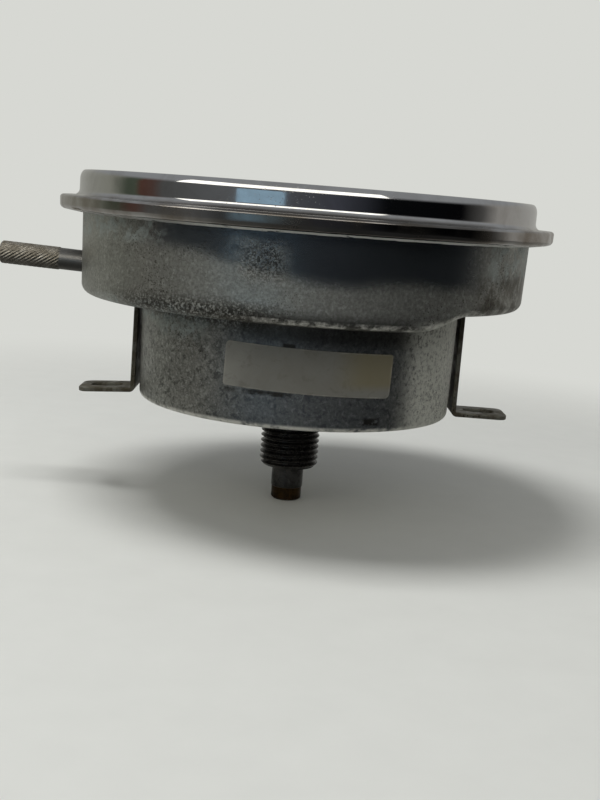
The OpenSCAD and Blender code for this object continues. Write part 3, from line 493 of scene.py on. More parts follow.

# %% [markdown]
# ## The case
# The case is a raw zinc casting: dull, pale grey, with a chalky bluish bloom near the flange, dark specks
# that thicken towards the lower rim, a pale crust on the lower can at the right, and a rim rubbed bright.
# Shade is painted into its colour as well: a dark band of painted shade below the chrome with a painted
# bluish reflection on it, a painted shadow under the step and painted shade low on the front. A rough
# metal alone would look too clean, so the colour, the roughness and the relief all follow the same masks.
# These first masks are patterns that lie all over the case.

# %% Case patterns
tree, body = finish("case_alloy")
place = here(tree)
x, y, z = axes(place)
clouds = use(tree, blotches, Size=16, Low=0.36, High=0.66)
wisps = use(tree, blotches, Size=3, Low=0.42, High=0.6)
mottle = use(tree, blotches, Size=0.6, Low=0.42, High=0.6)
scars = use(tree, blotches, Size=1.8, Low=0.5, High=0.62)
dots = use(tree, pitting, Size=0.4, Amount=0.62)
holes = use(tree, pitting, Size=0.75, Amount=0.42)
flecks = spots(place, 1000, 5, 0.7, 0.53, 0.64)
soil = spots(place, 2000, 5, 0.8, 0.46, 0.53)
grain = spots(place, 1500, 6, 0.75, 0.36, 0.62)
crust = spots(place, 900, 6, 0.75, 0.34, 0.54)
ragged = spots(place, 260, 5, 0.55, 0.36, 0.6)
print("nodes for the patterns:", len(tree.nodes))

# %% [markdown]
# A casting doesn't wear evenly. Each kind of wear has its zone, and so has each patch of painted shade
# or painted reflection, given in millimetres across and up the case with a soft margin. A zone could be
# painted by hand, but a painted mask is an image, and a formula stays sharp at any distance. Some zones
# are only on the front, which Y tells from the back.

# %% Case zones
def zone(across, up, soft_x, soft_z, height=z):
    """Mask of a stretch of the case, in millimetres across and up."""
    sideways = hill(x, across[0] * mm, across[1] * mm, soft_x * mm)
    return times(sideways, hill(height, up[0] * mm, up[1] * mm, soft_z * mm))


front = between(y, -10 * mm, -20 * mm)
leftward = most(times(x, -0.16), 0.0)
uneven = between(noise(place, 40, 2), 0.3, 0.7, -0.8 * mm, 0.8 * mm)
waving = maths("ADD", maths("SUBTRACT", z, leftward), uneven)
patchy = between(noise(place, 320, 5), 0.36, 0.6, 0.35, 1.0)
# painted reflection: a bluish lighter patch on the front, just below the chrome
painted_blue_reflection = times(front, zone((-12, -9), (38.8, 41), 9, 3.2, waving), patchy)
# painted shade: a dark bluish band below the chrome, which is also made smoother
smooth_painted_shade = times(zone((-29, 33), (39.2, 50), 14, 4.6, waving), between(painted_blue_reflection, 0, 1, 1.0, 0.35))
# painted shadow under the step of the case
painted_step_shadow = zone((-9, 32), (23, 27), 9, 4)
# painted shade, low on the front of the lower can
shaded = zone((-10, 18), (-1, 20), 16, 6)
low_can = hill(z, -5 * mm, 26 * mm, 1 * mm)
bloom_left, bloom_right = zone((-60, -36), (43, 46), 8, 2.5), zone((46, 60), (40, 46), 6, 4)
bloom = times(wisps, most(bloom_left, bloom_right, zone((-44, -25), (23, 27), 8, 3)))
veil = times(front, spots(place, 520, 6, 0.75, 0.4, 0.58), zone((-32, -26), (21.5, 26), 5, 4))
chalk = times(crust, zone((31, 44), (-1, 28), 8, 2))
rim_dirt = times(spots(place, 1500, 6, 0.85, 0.42, 0.5), zone((-34, -14), (25, 28.6), 14, 4))
cluster = times(soil, front, zone((-11, -7), (39.4, 41.4), 6.5, 7))
blob = zone((-3.4, -1.2), (19.9, 20.4), 0.8, 0.5)
dent = times(spots(place, 900, 4, 0.55, 0.38, 0.48), zone((17.2, 20), (2.3, 3.2), 1.2, 0.8))
# darker in a ragged line just below the label's lower edge
under_label = times(ragged, zone((-16, -2), (8.1, 8.7), 2, 0.5))
dark_marks = times(front, most(blob, dent, under_label))
smudge = times(ragged, zone((43, 53), (30, 38), 4, 3))
corner = times(hill(facing_up(tree), -0.8, -0.4, 0.15), spots(place, 420, 6, 0.7, 0.4, 0.62))
step_rim = times(corner, between(x, -34 * mm, -16 * mm, 0.15, 1.0))
back_rim = times(between(z, 1.5 * mm, 0.7 * mm), spots(place, 420, 5, 0.55, 0.3, 0.55))
rim = most(step_rim, back_rim)
print("nodes with the zones:", len(tree.nodes))

# %% [markdown]
# Now the colours are laid on, from the clean metal to the dirt on it, with painted shade, a painted
# shadow and a painted reflection among them. Chalky places are less metallic and rougher, the band of
# painted shade below the chrome is smoother, and pits and dirt are also a little sunk.

# %% Case colours
frost = most(times(bloom, 0.55), times(veil, 0.65))
powder = times(chalk, 0.78)
pale = most(frost, powder)
open_metal = between(shaded, 0, 1, 1.0, 0.2)
pitted = most(times(dots, open_metal, 0.75), times(holes, open_metal))
dark = most(pitted, rim_dirt, cluster, dark_marks)
colour = coats(
    blend(clouds, screen(184, 185, 179), screen(160, 161, 155)),
    (grain, 0.55, (112, 112, 106)),
    (times(low_can, mottle), 0.5, (96, 98, 98)),
    (times(low_can, scars), 0.7, (76, 77, 74)),
    (flecks, 0.55, (208, 210, 206)),
    # the next four coats are painted shade, a painted reflection and a painted shadow
    (shaded, 0.55, (86, 93, 102)),
    (smooth_painted_shade, 0.85, (68, 77, 86)),
    (painted_blue_reflection, 0.4, (128, 146, 158)),
    (painted_step_shadow, 0.8, (62, 60, 56)),
    (frost, 1, (200, 212, 210)),
    (powder, 1, (228, 229, 218)),
    (rim, 0.8, (222, 221, 213)),
    (smudge, 0.75, (72, 66, 52)),
    (dark, 0.85, (44, 40, 34)))
dull = maths("ADD", between(clouds, 0, 1, 0.36, 0.44), times(pale, 0.25))
feed(body, Base_Color=colour, Metallic=between(most(pale, rim), 0, 1, 0.9, 0.3),
     Roughness=maths("SUBTRACT", dull, times(smooth_painted_shade, 0.2)))
swell = bump(body, noise(place, 55, 2), 0.5, 0.12)
bump(body, maths("SUBTRACT", times(grain, 0.4), dark), 0.05, 0.5, after=swell)
print("finish:", "case_alloy")

# %% [markdown]
# ## The chrome
# The ring is plated metal. The wall is still a mirror with a slight haze, while the lip below it has gone
# a little brown where hands and rain reached it, and across the front it is darkened with painted shade.
# The raw edge that is turned in under the flange shows as a thin pale line with a few dark gaps. Heights
# on the ring are what tells these zones apart.

# %% Chrome finish
lip_low, lip_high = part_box("bezel")
ring_top, lip_r, crimp_z = lip_high.z, lip_high.x, lip_low.z
lip_top, lip_soft, edge_up, edge_soft = crimp_z + 4.2 * mm, 1 * mm, 0.56 * mm, 0.1 * mm
tree, body = finish("chrome")
place = here(tree)
x, _, z = axes(place)
haze = use(tree, blotches, Size=9, Low=0.42, High=0.72)
pits = use(tree, pitting, Size=0.5, Amount=0.3)
rubbed = use(tree, scratches, Size=2.0, Squeeze=10, Width=0.014)
gaps = spots(place, 260, 4, 0.55, 0.6, 0.64)
lip_zone = between(z, lip_top + lip_soft, lip_top)
raw_edge = between(z, crimp_z + edge_up + edge_soft, crimp_z + edge_up)
bright_side = between(x, -34 * mm, -20 * mm, 0.15, 1.0)
brown = times(lip_zone, between(noise(place, 120, 5), 0.3, 0.7, 0.2, 0.9))
# painted shade: the lip is darkened across the front
painted_lip_shade = times(lip_zone, hill(x, -18 * mm, 36 * mm, 9 * mm))
colour = coats(
    blend(haze, screen(206, 206, 206), screen(192, 191, 190)),
    (brown, 1, (140, 131, 120)),
    (painted_lip_shade, 0.75, (84, 80, 74)),
    (times(raw_edge, bright_side), 1, (246, 245, 238)),
    (times(raw_edge, gaps), 1, (40, 36, 30)),
    (times(pits, between(lip_zone, 0, 1, 0.25, 0.6)), 1, (70, 62, 54)))
gloss = between(haze, 0, 1, 0.05, 0.1)
for mask, share in ((brown, 0.22), (raw_edge, 0.35), (rubbed, 0.05)):
    gloss = maths("ADD", gloss, times(mask, share))
feed(body, Base_Color=colour, Roughness=gloss, Metallic=between(raw_edge, 0, 1, 1.0, 0.1))
wavy = bump(body, noise(place, 45, 2), 0.2, 0.06)
bump(body, times(pits, -1), 0.04, 0.3, after=wavy)
print("finish:", "chrome")

# %% [markdown]
# ## Brackets, nipple and knob
# The brackets were plated once and are now olive-brown with paler edges and some dust on the feet. They
# could share the recipe for metal, but their rubbed edges shine more than the flat, so they get a tree of
# their own.

# %% Bracket finish
tree, body = finish("bracket_steel")
rusty = use(tree, blotches, Size=5, Low=0.4, High=0.62)
specks = use(tree, pitting, Size=0.5, Amount=0.6)
worn = use(tree, edge_wear, Width=0.5, Breaks=0.2)
grime = use(tree, dust, Size=5, Amount=0.5)
colour = coats(
    blend(rusty, screen(114, 112, 102), screen(80, 74, 60)),
    (specks, 1, (46, 38, 28)),
    (worn, 0.8, (176, 173, 160)),
    (grime, 1, (140, 134, 116)))
feed(body, Base_Color=colour, Metallic=between(worn, 0, 1, 0.55, 0.9),
     Roughness=between(rusty, 0, 1, 0.42, 0.62))
bump(body, maths("SUBTRACT", noise(here(tree), 700), specks), 0.06, 0.5)
print("finish:", "bracket_steel")

# %% [markdown]
# The nipple is blackened steel, and its plain tube below the thread has been rubbed to grey. Two
# materials would need a cut in the mesh, so one material changes its tone with the height instead.

# %% Nipple finish
tube_from, tube_full = -17.3 * mm, -17.9 * mm
tree, body = finish("nipple_steel")
place = here(tree)
tube = between(axes(place)[2], tube_from, tube_full)
oily = use(tree, blotches, Size=4, Low=0.4, High=0.65)
worn = use(tree, edge_wear, Width=0.22, Breaks=0.3)
specks = use(tree, pitting, Size=0.5, Amount=0.5)
thread_tone = blend(oily, screen(62, 60, 58), screen(38, 37, 37))
tube_tone = blend(oily, screen(78, 77, 76), screen(50, 48, 47))
colour = coats(
    blend(tube, thread_tone, tube_tone),
    (worn, 0.5, (158, 154, 146)),
    (specks, 1, (40, 33, 27)))
feed(body, Base_Color=colour, Metallic=between(tube, 0, 1, 0.75, 0.95),
     Roughness=between(oily, 0, 1, 0.22, 0.36))
bump(body, maths("SUBTRACT", noise(place, 800, 3), specks), 0.05, 0.4)
print("finish:", "nipple_steel")

# %% [markdown]
# The knob is steel with brown dirt in the knurl and a cleaner, greyer neck. What faces down is darkened
# with painted shade. Along the knob, X tells the knurl from the neck.

# %% Knob finish
knurl_from, neck_from = -65.3 * mm, -64.4 * mm
tree, body = finish("knob_steel", Metallic=0.9)
neck = between(axes(here(tree))[0], knurl_from, neck_from)
dirty = use(tree, blotches, Size=3, Low=0.36, High=0.62)
worn = use(tree, edge_wear, Width=0.3, Breaks=0.2)
specks = use(tree, pitting, Size=0.4, Amount=0.3)
# painted shade: what faces down is darker
under = between(facing_up(tree), 0.1, -0.5)
soiled = times(dirty, between(neck, 0, 1, 1.0, 0.2))
colour = coats(
    blend(neck, screen(184, 178, 166), screen(126, 125, 123)),
    (soiled, 1, (148, 141, 127)),
    (worn, 0.4, (190, 186, 178)),
    (under, 0.75, (70, 69, 67)),
    (times(specks, between(neck, 0, 1, 1.0, 0.3)), 1, (58, 48, 38)))
feed(body, Base_Color=colour, Roughness=between(soiled, 0, 1, 0.42, 0.56))
bump(body, specks, -0.05, 0.4)
print("finish:", "knob_steel")

# %% [markdown]
# ## Paper, paint, rubber and glass
# The label is bare paper, greyed and scuffed, cleaner at its left end and yellowed at its right. A flat
# colour would look like plastic, so faint fibres and a low relief are added.

# %% Label finish
tree, body = finish("label_paper", Metallic=0.0)
place = here(tree)
x, _, z = axes(place)
aged = use(tree, blotches, Size=14, Low=0.35, High=0.7)
scuffs = use(tree, blotches, Size=3, Low=0.52, High=0.66)
fibre = use(tree, scratches, Size=0.9, Squeeze=5, Width=0.03)
worn = use(tree, edge_wear, Width=0.6, Breaks=0.3)
yellow = times(between(x, 7 * mm, 17 * mm), between(z, 9.5 * mm, 12.5 * mm))
clean_end = between(x, -8 * mm, -19 * mm)
colour = coats(
    blend(clean_end, screen(142, 141, 134), screen(168, 167, 160)),
    (aged, 0.6, (130, 128, 120)),
    (scuffs, 0.4, (112, 109, 100)),
    (yellow, 0.8, (142, 133, 104)),
    (fibre, 0.12, (150, 144, 132)),
    (worn, 0.7, (196, 192, 180)))
feed(body, Base_Color=colour, Roughness=between(aged, 0, 1, 0.42, 0.58))
bump(body, noise(place, 300), 0.05, 0.4)
print("finish:", "label_paper")

# %% [markdown]
# The dial is matt black paint with a little dust, the marks are ivory paint, and the drums are ivory
# plastic. These finishes differ only in their tones, gloss and dust, so one function makes them all.

# %% Paint recipe
def paint(slot, light, dark, rough, dust_tone, dust_amount=0.25):
    """Paint, plastic or rubber in two close tones, with fine grain and dust on what faces up."""
    tree, body = finish(slot, Metallic=0.0)
    tones = use(tree, blotches, Size=6, Low=0.35, High=0.7)
    specks = use(tree, pitting, Size=0.5, Amount=0.25)
    settled = use(tree, dust, Size=3, Amount=dust_amount)
    colour = blend(tones, screen(*light), screen(*dark))
    colour = coats(colour, (specks, 0.5, dust_tone), (settled, 1, dust_tone))
    feed(body, Base_Color=colour, Roughness=between(tones, 0, 1, *rough))
    bump(body, noise(here(tree), 1200, 3), 0.02, 0.3)


paint("dial_black", (30, 30, 32), (22, 22, 23), (0.55, 0.7), (92, 88, 80), 0.16)
paint("cap_black", (24, 24, 25), (17, 17, 18), (0.3, 0.45), (80, 78, 74), 0.12)
paint("gasket_rubber", (38, 38, 38), (28, 28, 28), (0.7, 0.85), (80, 78, 72))
paint("pointer_paint", (228, 222, 204), (210, 202, 180), (0.4, 0.55), (170, 160, 138), 0.1)
paint("drum_white", (224, 219, 204), (206, 200, 182), (0.4, 0.55), (150, 142, 124), 0.15)
paint("pinion_white", (216, 210, 192), (196, 190, 170), (0.4, 0.55), (150, 142, 124), 0.15)
print("finishes:", len(finishes))

# %% [markdown]
# Glass is a Principled shader with full transmission. For shadow rays it turns transparent, or the dial
# below it would lie in the dark. A few smears change its roughness, so that it can be seen at all.

# %% Glass finish
clear_tint = screen(250, 253, 252)
tree, body = finish("glass", Metallic=0.0, Transmission_Weight=1.0, IOR=1.5, Base_Color=clear_tint)
smears = use(tree, blotches, Size=22, Low=0.5, High=0.8)
feed(body, Roughness=between(smears, 0, 1, 0.015, 0.05))
clear = add(tree, "ShaderNodeBsdfTransparent")
rays = add(tree, "ShaderNodeLightPath").outputs
mixed = mix_looks(rays["Is Shadow Ray"], body, clear)
feed(tree.nodes["Material Output"], Surface=mixed.outputs[0])

# %% [markdown]
# Every node of the construction gets the finish of its slot in the record. Pieces that are replaced below
# still get it, so nothing can show bare.

# %% Finishes on the construction
for subpart in frame["record"]["subparts"]:
    node = frame["nodes"][subpart["node"]]
    node.data.materials.clear()
    node.data.materials.append(finishes[subpart["material_slot"]])

# %% [markdown]
# ## Making round pieces
# The bezel, the case, the nipple and the knob are all turned or spun shapes. Blender's Screw modifier
# would spin one outline, but here the outline changes a little as it goes round: a ragged crimp, a raised
# floor, a thread, a knurl. So the mesh is written directly: the outline is asked for at each angle, and
# neighbouring outlines are joined with quads.

# %% Lathe
crease, wide_crease = 32, 40


def arc(centre, radius, start, end, steps=8):
    """Points of an arc in an outline, between two angles in degrees."""
    angles = [math.radians(start + (end - start) * i / steps) for i in range(steps + 1)]
    return [(centre[0] + radius * math.cos(a), centre[1] + radius * math.sin(a)) for a in angles]


def run(a, b, steps):
    """Points of a straight run in an outline, without its first point."""
    (ar, ah), (br, bh) = a, b
    return [(ar + (br - ar) * i / steps, ah + (bh - ah) * i / steps) for i in range(1, steps + 1)]


def ease(t):
    """A smooth step from 0 to 1."""
    t = min(1.0, max(0.0, t))
    return t * t * (3 - 2 * t)


def new_piece(name, points, faces, sharp=crease):
    """A mesh object with outward normals, smooth but for edges sharper than that many degrees."""
    shape = bmesh.new()
    corners = [shape.verts.new(p) for p in points]
    for face in faces:
        shape.faces.new([corners[i] for i in face])
    bmesh.ops.recalc_face_normals(shape, faces=shape.faces)
    piece = solid(name, shape)
    piece.data.shade_smooth()
    piece.data.set_sharp_from_angle(angle=math.radians(sharp))
    return piece


def lathe(name, outline, turns, sharp=crease, place=Matrix.Identity(4)):
    """A ring-shaped solid: outline(angle) gives its closed section as (radius, height) points."""
    sections = [outline(math.tau * i / turns) for i in range(turns)]
    count = len(sections[0])
    points = []
    for i, section in enumerate(sections):
        c, s = math.cos(math.tau * i / turns), math.sin(math.tau * i / turns)
        points += [place @ Vector((r * c, r * s, h)) for r, h in section]
    faces = []
    for i in range(turns):
        a, b = i * count, (i + 1) % turns * count
        faces += [(a + j, a + (j + 1) % count, b + (j + 1) % count, b + j) for j in range(count)]
    return new_piece(name, points, faces, sharp)


def dress(piece, slot, body="case", stands_for=()):
    """Gives a piece its finish and its body, and hides the nodes that it stands for."""
    piece.data.materials.append(finishes[slot])
    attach(piece, body)
    if stands_for:
        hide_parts(*stands_for)
    print(piece.name, "faces:", len(piece.data.polygons))


print("edges stay sharp from", crease, "or", wide_crease, "degrees")

# %% [markdown]
# The bezel is one strip of metal: a rolled lip, a straight wall, a rounded top edge and a rim that holds
# the glass. Its lower edge was turned in under the case's flange, so it wanders a little. A random wander
# would also do, but a few sines added up give that wander the same on every run.

# %% Bezel
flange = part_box("housing")[1]
flange_r, case_h = flange.x, flange.z
lens_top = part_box("lens")[1].z
can_r, ring_r, ring_in, rim_in, rim_round = 58.4 * mm, 59.45 * mm, 58.25 * mm, 55.55 * mm, 0.5 * mm
crimp_t, crimp_in, crimp_wander, crimp_sag = 0.7 * mm, 0.42 * mm, 0.22 * mm, 0.07 * mm
burr_w, burr_h, lip_slope = 0.15 * mm, 0.2 * mm, math.radians(8.5)
nose_low_r, nose_high_r, nose_in = 1.2 * mm, 0.8 * mm, 0.05 * mm
fillet_r, round_r, round_h, fit = 1.6 * mm, 1.3 * mm, 2.3 * mm, 0.05 * mm
bezel_turns = 480


def wander(angle, *waves):
    """A wavy number between about -1 and 1 that closes on itself round the circle."""
    return sum(math.sin(n * angle + 1.7 * n) / (k + 1.5) for k, n in enumerate(waves))


def bezel_outline(angle):
    """The ring's section: from its turned-in edge up the outside, over the rim and down the inside."""
    edge = can_r + crimp_in + crimp_wander * wander(angle, 7, 19, 43, 71)
    low = crimp_z + crimp_sag * wander(angle, 5, 23, 61)
    wall_low, wall_high = lip_top + fillet_r, ring_top - round_h
    nose_x = lip_r - nose_low_r - nose_in
    nose_z = low + math.tan(lip_slope) * (nose_x - edge) + nose_low_r / math.cos(lip_slope)
    section = [(edge, low + crimp_t), (edge, low + burr_h), (edge + burr_w, low)]
    section += arc((nose_x, nose_z), nose_low_r, -90 + math.degrees(lip_slope), 0, 12)
    section += arc((lip_r - nose_high_r, lip_top - nose_high_r), nose_high_r, 0, 90, 9)
    section += run(section[-1], (ring_r + fillet_r, lip_top), 3)[:-1]
    section += arc((ring_r + fillet_r, wall_low), fillet_r, 270, 180, 8)
    section += run(section[-1], (ring_r, wall_high), 8)[:-1]
    top = arc((0, 0), round_r, 0, 90, 12)
    section += [(ring_r - round_r + r, wall_high + h * round_h / round_r) for r, h in top]
    section += arc((rim_in + rim_round, ring_top - rim_round), rim_round, 90, 180, 5)
    section += [(rim_in, lens_top), (ring_in, lens_top), (ring_in, case_h + fit)]
    return section + [(flange_r + fit, case_h + fit), (flange_r + fit, low + crimp_t)]


dress(lathe("bezel_ring", bezel_outline, bezel_turns), "chrome", stands_for=["bezel"])

# %% [markdown]
# The case is one casting. Its step, the annular floor, stands higher over the right bracket, with a
# smooth ramp on each side. A plain spin would make the floor level all round. Here its height is a
# function of the place, so the ramp comes out round, where the construction has plain slopes.

# %% Case shell
floor_z, floor_step, floor_t, floor_rows = 26.3 * mm, 3.7 * mm, 3 * mm, 8
ramp_from, ramp_w, ramp_x = 49.4 * mm, 9.1 * mm, 13 * mm
low_r, low_top_r, can_low_r, wall_t = 41.6 * mm, 42.1 * mm, 57.95 * mm, 2.5 * mm
floor_round, back_round, step_fillet = 2.5 * mm, 1.2 * mm, 1.0 * mm
back_t, hole_r, back_mid_r, flange_t = 3 * mm, 8 * mm, 24 * mm, 2.05 * mm
inner_r, ledge_r, ledge_top, ledge_low = 55.9 * mm, 53.2 * mm, 45.5 * mm, 42.5 * mm
case_turns = 400


def floor_at(r, angle):
    """Height of the floor's underside at a place, from low_r out to the wall of the upper can."""
    x, y = r * math.cos(angle), r * math.sin(angle)
    return floor_z + floor_step * ease((ramp_from - abs(y)) / ramp_w) * ease(x / ramp_x)


def case_outline(angle):
    """The shell's section: from the hole in its back up the outside and down the inside."""
    inside_floor = floor_at(low_top_r, angle)
    floor_from, corner_r = low_top_r + step_fillet, can_low_r - floor_round
    section = [(hole_r, 0), (back_mid_r, 0)]
    section += arc((low_r - back_round, back_round), back_round, -90, 0, 7)
    section += run(section[-1], (low_top_r, inside_floor - step_fillet), 10)
    section += arc((floor_from, inside_floor - step_fillet), step_fillet, 180, 90, 5)[1:]
    for i in range(1, floor_rows):
        r = floor_from + (corner_r - low_top_r - step_fillet) * i / floor_rows
        section.append((r, floor_at(r, angle)))
    section += arc((corner_r, floor_at(corner_r, angle) + floor_round), floor_round, -90, 0, 10)
    section += run(section[-1], (can_r, case_h - flange_t), 8)
    section += [(flange_r, case_h - flange_t), (flange_r, case_h), (inner_r, case_h), (inner_r, ledge_top)]
    section += [(ledge_r, ledge_top), (ledge_r, ledge_low), (inner_r, ledge_low - wall_t)]
    section += [(can_low_r - wall_t, floor_at(corner_r, angle) + floor_t)]
    section += [(low_top_r - wall_t, inside_floor + floor_t), (low_r - wall_t, back_t), (hole_r, back_t)]
    return section


case = lathe("case_shell", case_outline, case_turns)
print("case height:", round(case_h / mm, 2), "mm")

# %% [markdown]
# The reset stem leaves the case through a drilled hole, and it leans a little. A Boolean modifier drills
# it, and the drilled mesh is kept in place of the modifier, so that the drill itself can go.

# %% Stem hole
stem_rise, stem_hole_r, drill_l, drill_steps = math.radians(2.3), 3.05 * mm, 8 * mm, 64
wall_x, stem_z = 58.101 * mm, 33.4 * mm
stem_way = Matrix.Rotation(stem_rise - math.pi / 2, 4, "Y")
stem_place = Matrix.Translation((-wall_x, 0, stem_z)) @ stem_way
drill = bmesh.new()
bmesh.ops.create_cone(drill, cap_ends=True, segments=drill_steps, radius1=stem_hole_r, radius2=stem_hole_r,
                      depth=drill_l, matrix=stem_place)
driller = solid("stem_drill", drill)
cut = case.modifiers.new("stem_hole", "BOOLEAN")
cut.operation, cut.solver, cut.object = "DIFFERENCE", "EXACT", driller
drilled = bpy.data.meshes.new_from_object(case.evaluated_get(bpy.context.evaluated_depsgraph_get()))
case.modifiers.clear()
case.data = drilled
bpy.data.objects.remove(driller)
dress(case, "case_alloy", stands_for=["housing"])

# %% [markdown]
# The nipple's thread is a real helix. A Screw modifier winds one too, but leaves its ends open. Here, at
# each angle the groove sits a little lower than at the last one, and after one turn it has moved by one
# pitch, so the rings of the lathe join into a spiral by themselves.

# %% Nipple
thread_r, thread_pitch, thread_l, thread_depth = 7.95 * mm, 1.5 * mm, 17.65 * mm, 0.92 * mm
groove_share, flank_share, end_chamfer = 0.9, 0.76, 1.0 * mm
tube_r, tube_end, tube_fillet, tube_round = 4.3 * mm, -23.65 * mm, 0.5 * mm, 0.3 * mm
bush_r, bush_top, shaft_r = 3.64 * mm, -15.4 * mm, 3.05 * mm
nipple_flange_r, nipple_top, thread_rows, nipple_turns = 9.95 * mm, 5 * mm, 180, 120


def thread_radius(angle, depth):
    """Radius of the thread at a depth below the back of the case."""
    share = (depth / thread_pitch + angle / math.tau) % 1
    groove = min(1.0, max(0.0, (groove_share - 2 * abs(share - 0.5)) / flank_share))
    fade = ease(depth / (0.5 * thread_pitch))
    end_cut = max(0.0, depth - (thread_l - end_chamfer))
    return min(thread_r - thread_depth * groove * fade, thread_r - end_cut)


def nipple_outline(angle):
    """The nipple's section: its flange inside the case, the thread, the tube and the bores."""
    section = [(shaft_r, nipple_top), (nipple_flange_r, nipple_top)]
    section += [(nipple_flange_r, back_t), (thread_r, back_t)]
    for row in range(thread_rows + 1):
        depth = thread_l * row / thread_rows
        section.append((thread_radius(angle, depth), -depth))
    section += arc((tube_r + tube_fillet, -thread_l - tube_fillet), tube_fillet, 90, 180, 5)
    section += run(section[-1], (tube_r, tube_end + tube_round), 4)
    section += arc((tube_r - tube_round, tube_end + tube_round), tube_round, 0, -90, 4)[1:]
    return section + [(bush_r, tube_end), (bush_r, bush_top), (shaft_r, bush_top)]


nipple = lathe("threaded_nipple", nipple_outline, nipple_turns, wide_crease)
dress(nipple, "nipple_steel", stands_for=["cable_nipple"])

# %% [markdown]
# The reset knob is turned steel, knurled with one set of round helical ribs. A knurl could be left to a
# bump map, but it also shows in the outline, so the radius follows a cosine along the helix. The stem
# runs on into the case, to its gear.

# %% Knob
stem_r, stem_in, stem_shoulder, axis_r = 2 * mm, -34.2 * mm, 0.4 * mm, 0.02 * mm
neck_r, neck_l, neck_gap, knob_round = 2.86 * mm, 6.6 * mm, 0.2 * mm, 0.5 * mm
knurl_l, knurl_r, knurl_cut, knurl_lead = 15.9 * mm, 3.02 * mm, 0.16 * mm, 1.3 * mm
knurl_n, knurl_rows, knob_turns = 20, 130, 260


def knurl_radius(angle, along):
    """Radius of the knurl: round-topped ribs along one helix."""
    share = (knurl_n * angle / math.tau + along / knurl_lead) % 1
    return knurl_r - knurl_cut * (0.5 + 0.5 * math.cos(math.tau * share))


def knob_outline(angle):
    """The knob's section: from the stem's inner end out along the neck and the knurl."""
    section = [(axis_r, stem_in), (stem_r, stem_in), (stem_r, -stem_shoulder), (neck_r, 0)]
    section += run(section[-1], (neck_r, neck_l - neck_gap), 6)
    for row in range(knurl_rows + 1):
        along = (knurl_l - knob_round) * row / knurl_rows
        fade = ease(along / knob_round)
        section.append((neck_r + (knurl_radius(angle, along) - neck_r) * fade, neck_l + along))
    end = neck_l + knurl_l
    section += arc((knurl_r - knurl_cut - knob_round, end - knob_round), knob_round, 20, 90, 6)
    return section + [(axis_r, end)]


knob = lathe("knurled_knob", knob_outline, knob_turns, wide_crease, stem_place)
dress(knob, "knob_steel", "reset", ["reset_knob"])

# %% [markdown]
# ## Bent strips
# The brackets and the label start flat. A flat plate with rounded corners and holes is easiest as a
# filled 2D curve, which also bevels its edges. It is cut across wherever it will bend, and then each
# point is moved to its place on the bent path. The plates are drawn in millimetres, because a fill works
# poorly on tiny numbers.

# %% Plates
weld = 1e-4


def rounded(w, h, radii, steps=6, shift=0.0):
    """Corner points of a rectangle about (shift, 0), its corners rounded, from the lower left one."""
    points = []
    for k, (sx, sy) in enumerate(((-1, -1), (1, -1), (1, 1), (-1, 1))):
        r = radii[k]
        centre = (shift + sx * (w / 2 - r), sy * (h / 2 - r))
        points += arc(centre, r, 180 + 90 * k, 270 + 90 * k, steps)
    return points


def flat_mesh(curve, cuts, cuts_y):
    """Turns a flat curve or text into points and faces, cut across for bending."""
    holder = bpy.data.objects.new("plate", curve)
    scene.collection.objects.link(holder)
    mesh = bpy.data.meshes.new_from_object(holder.evaluated_get(bpy.context.evaluated_depsgraph_get()))
    bpy.data.objects.remove(holder)
    shape = bmesh.new()
    shape.from_mesh(mesh)
    bmesh.ops.remove_doubles(shape, verts=shape.verts, dist=weld)
    for axis, places in (((1, 0, 0), cuts), ((0, 1, 0), cuts_y)):
        for spot in places:
            everything = shape.verts[:] + shape.edges[:] + shape.faces[:]
            bmesh.ops.bisect_plane(shape, geom=everything, plane_co=Vector(axis) * spot, plane_no=axis)
    shape.verts.index_update()
    points = [v.co.copy() for v in shape.verts]
    faces = [[v.index for v in f.verts] for f in shape.faces]
    shape.free()
    return points, faces


def plate(loops, thickness, bevel, cuts=(), cuts_y=()):
    """Points and faces of a flat plate, in millimetres, cut across at those places along X and Y."""
    curve = bpy.data.curves.new("plate", "CURVE")
    curve.dimensions, curve.fill_mode = "2D", "BOTH"
    curve.extrude, curve.bevel_depth, curve.bevel_resolution = thickness / 2 - bevel, bevel, 2
    curve.offset = -bevel
    for loop in loops:
        line = curve.splines.new("POLY")
        line.points.add(len(loop) - 1)
        line.use_cyclic_u = True
        for point, (x, y) in zip(line.points, loop):
            point.co = (x, y, 0, 1)
    return flat_mesh(curve, cuts, cuts_y)


print("plates can be cut and bent")

# %% [markdown]
# A bracket's path runs from the end of its top flange, round one bend, down the arm, round the second
# bend and out along the foot. A Curve modifier could bend a strip, but it stretches the bends, so a point
# at a distance along the strip is looked up on that path instead. The left foot has been bent down a
# little in use.

# %% Brackets
strip_w, strip_t, strip_bevel, top_l, top_corner = 12.0, 1.2, 0.22, 8.5, 0.8
arm_out, foot_l, foot_corner, foot_droop = 43.7, 14.0, 2.5, math.radians(3.6)
slot_w, slot_l, slot_flat, screw_hole, hole_in, hole_steps = 5.4, 8.6, 0.02, 3.1, 0.4, 24
bend_r, bend_steps, arm_steps = 0.9, 8, 6
bend_in, bend_out, bend_l = bend_r - strip_t / 2, bend_r + strip_t / 2, bend_r * math.pi / 2
left_h, right_h = floor_z / mm, (floor_z + floor_step) / mm


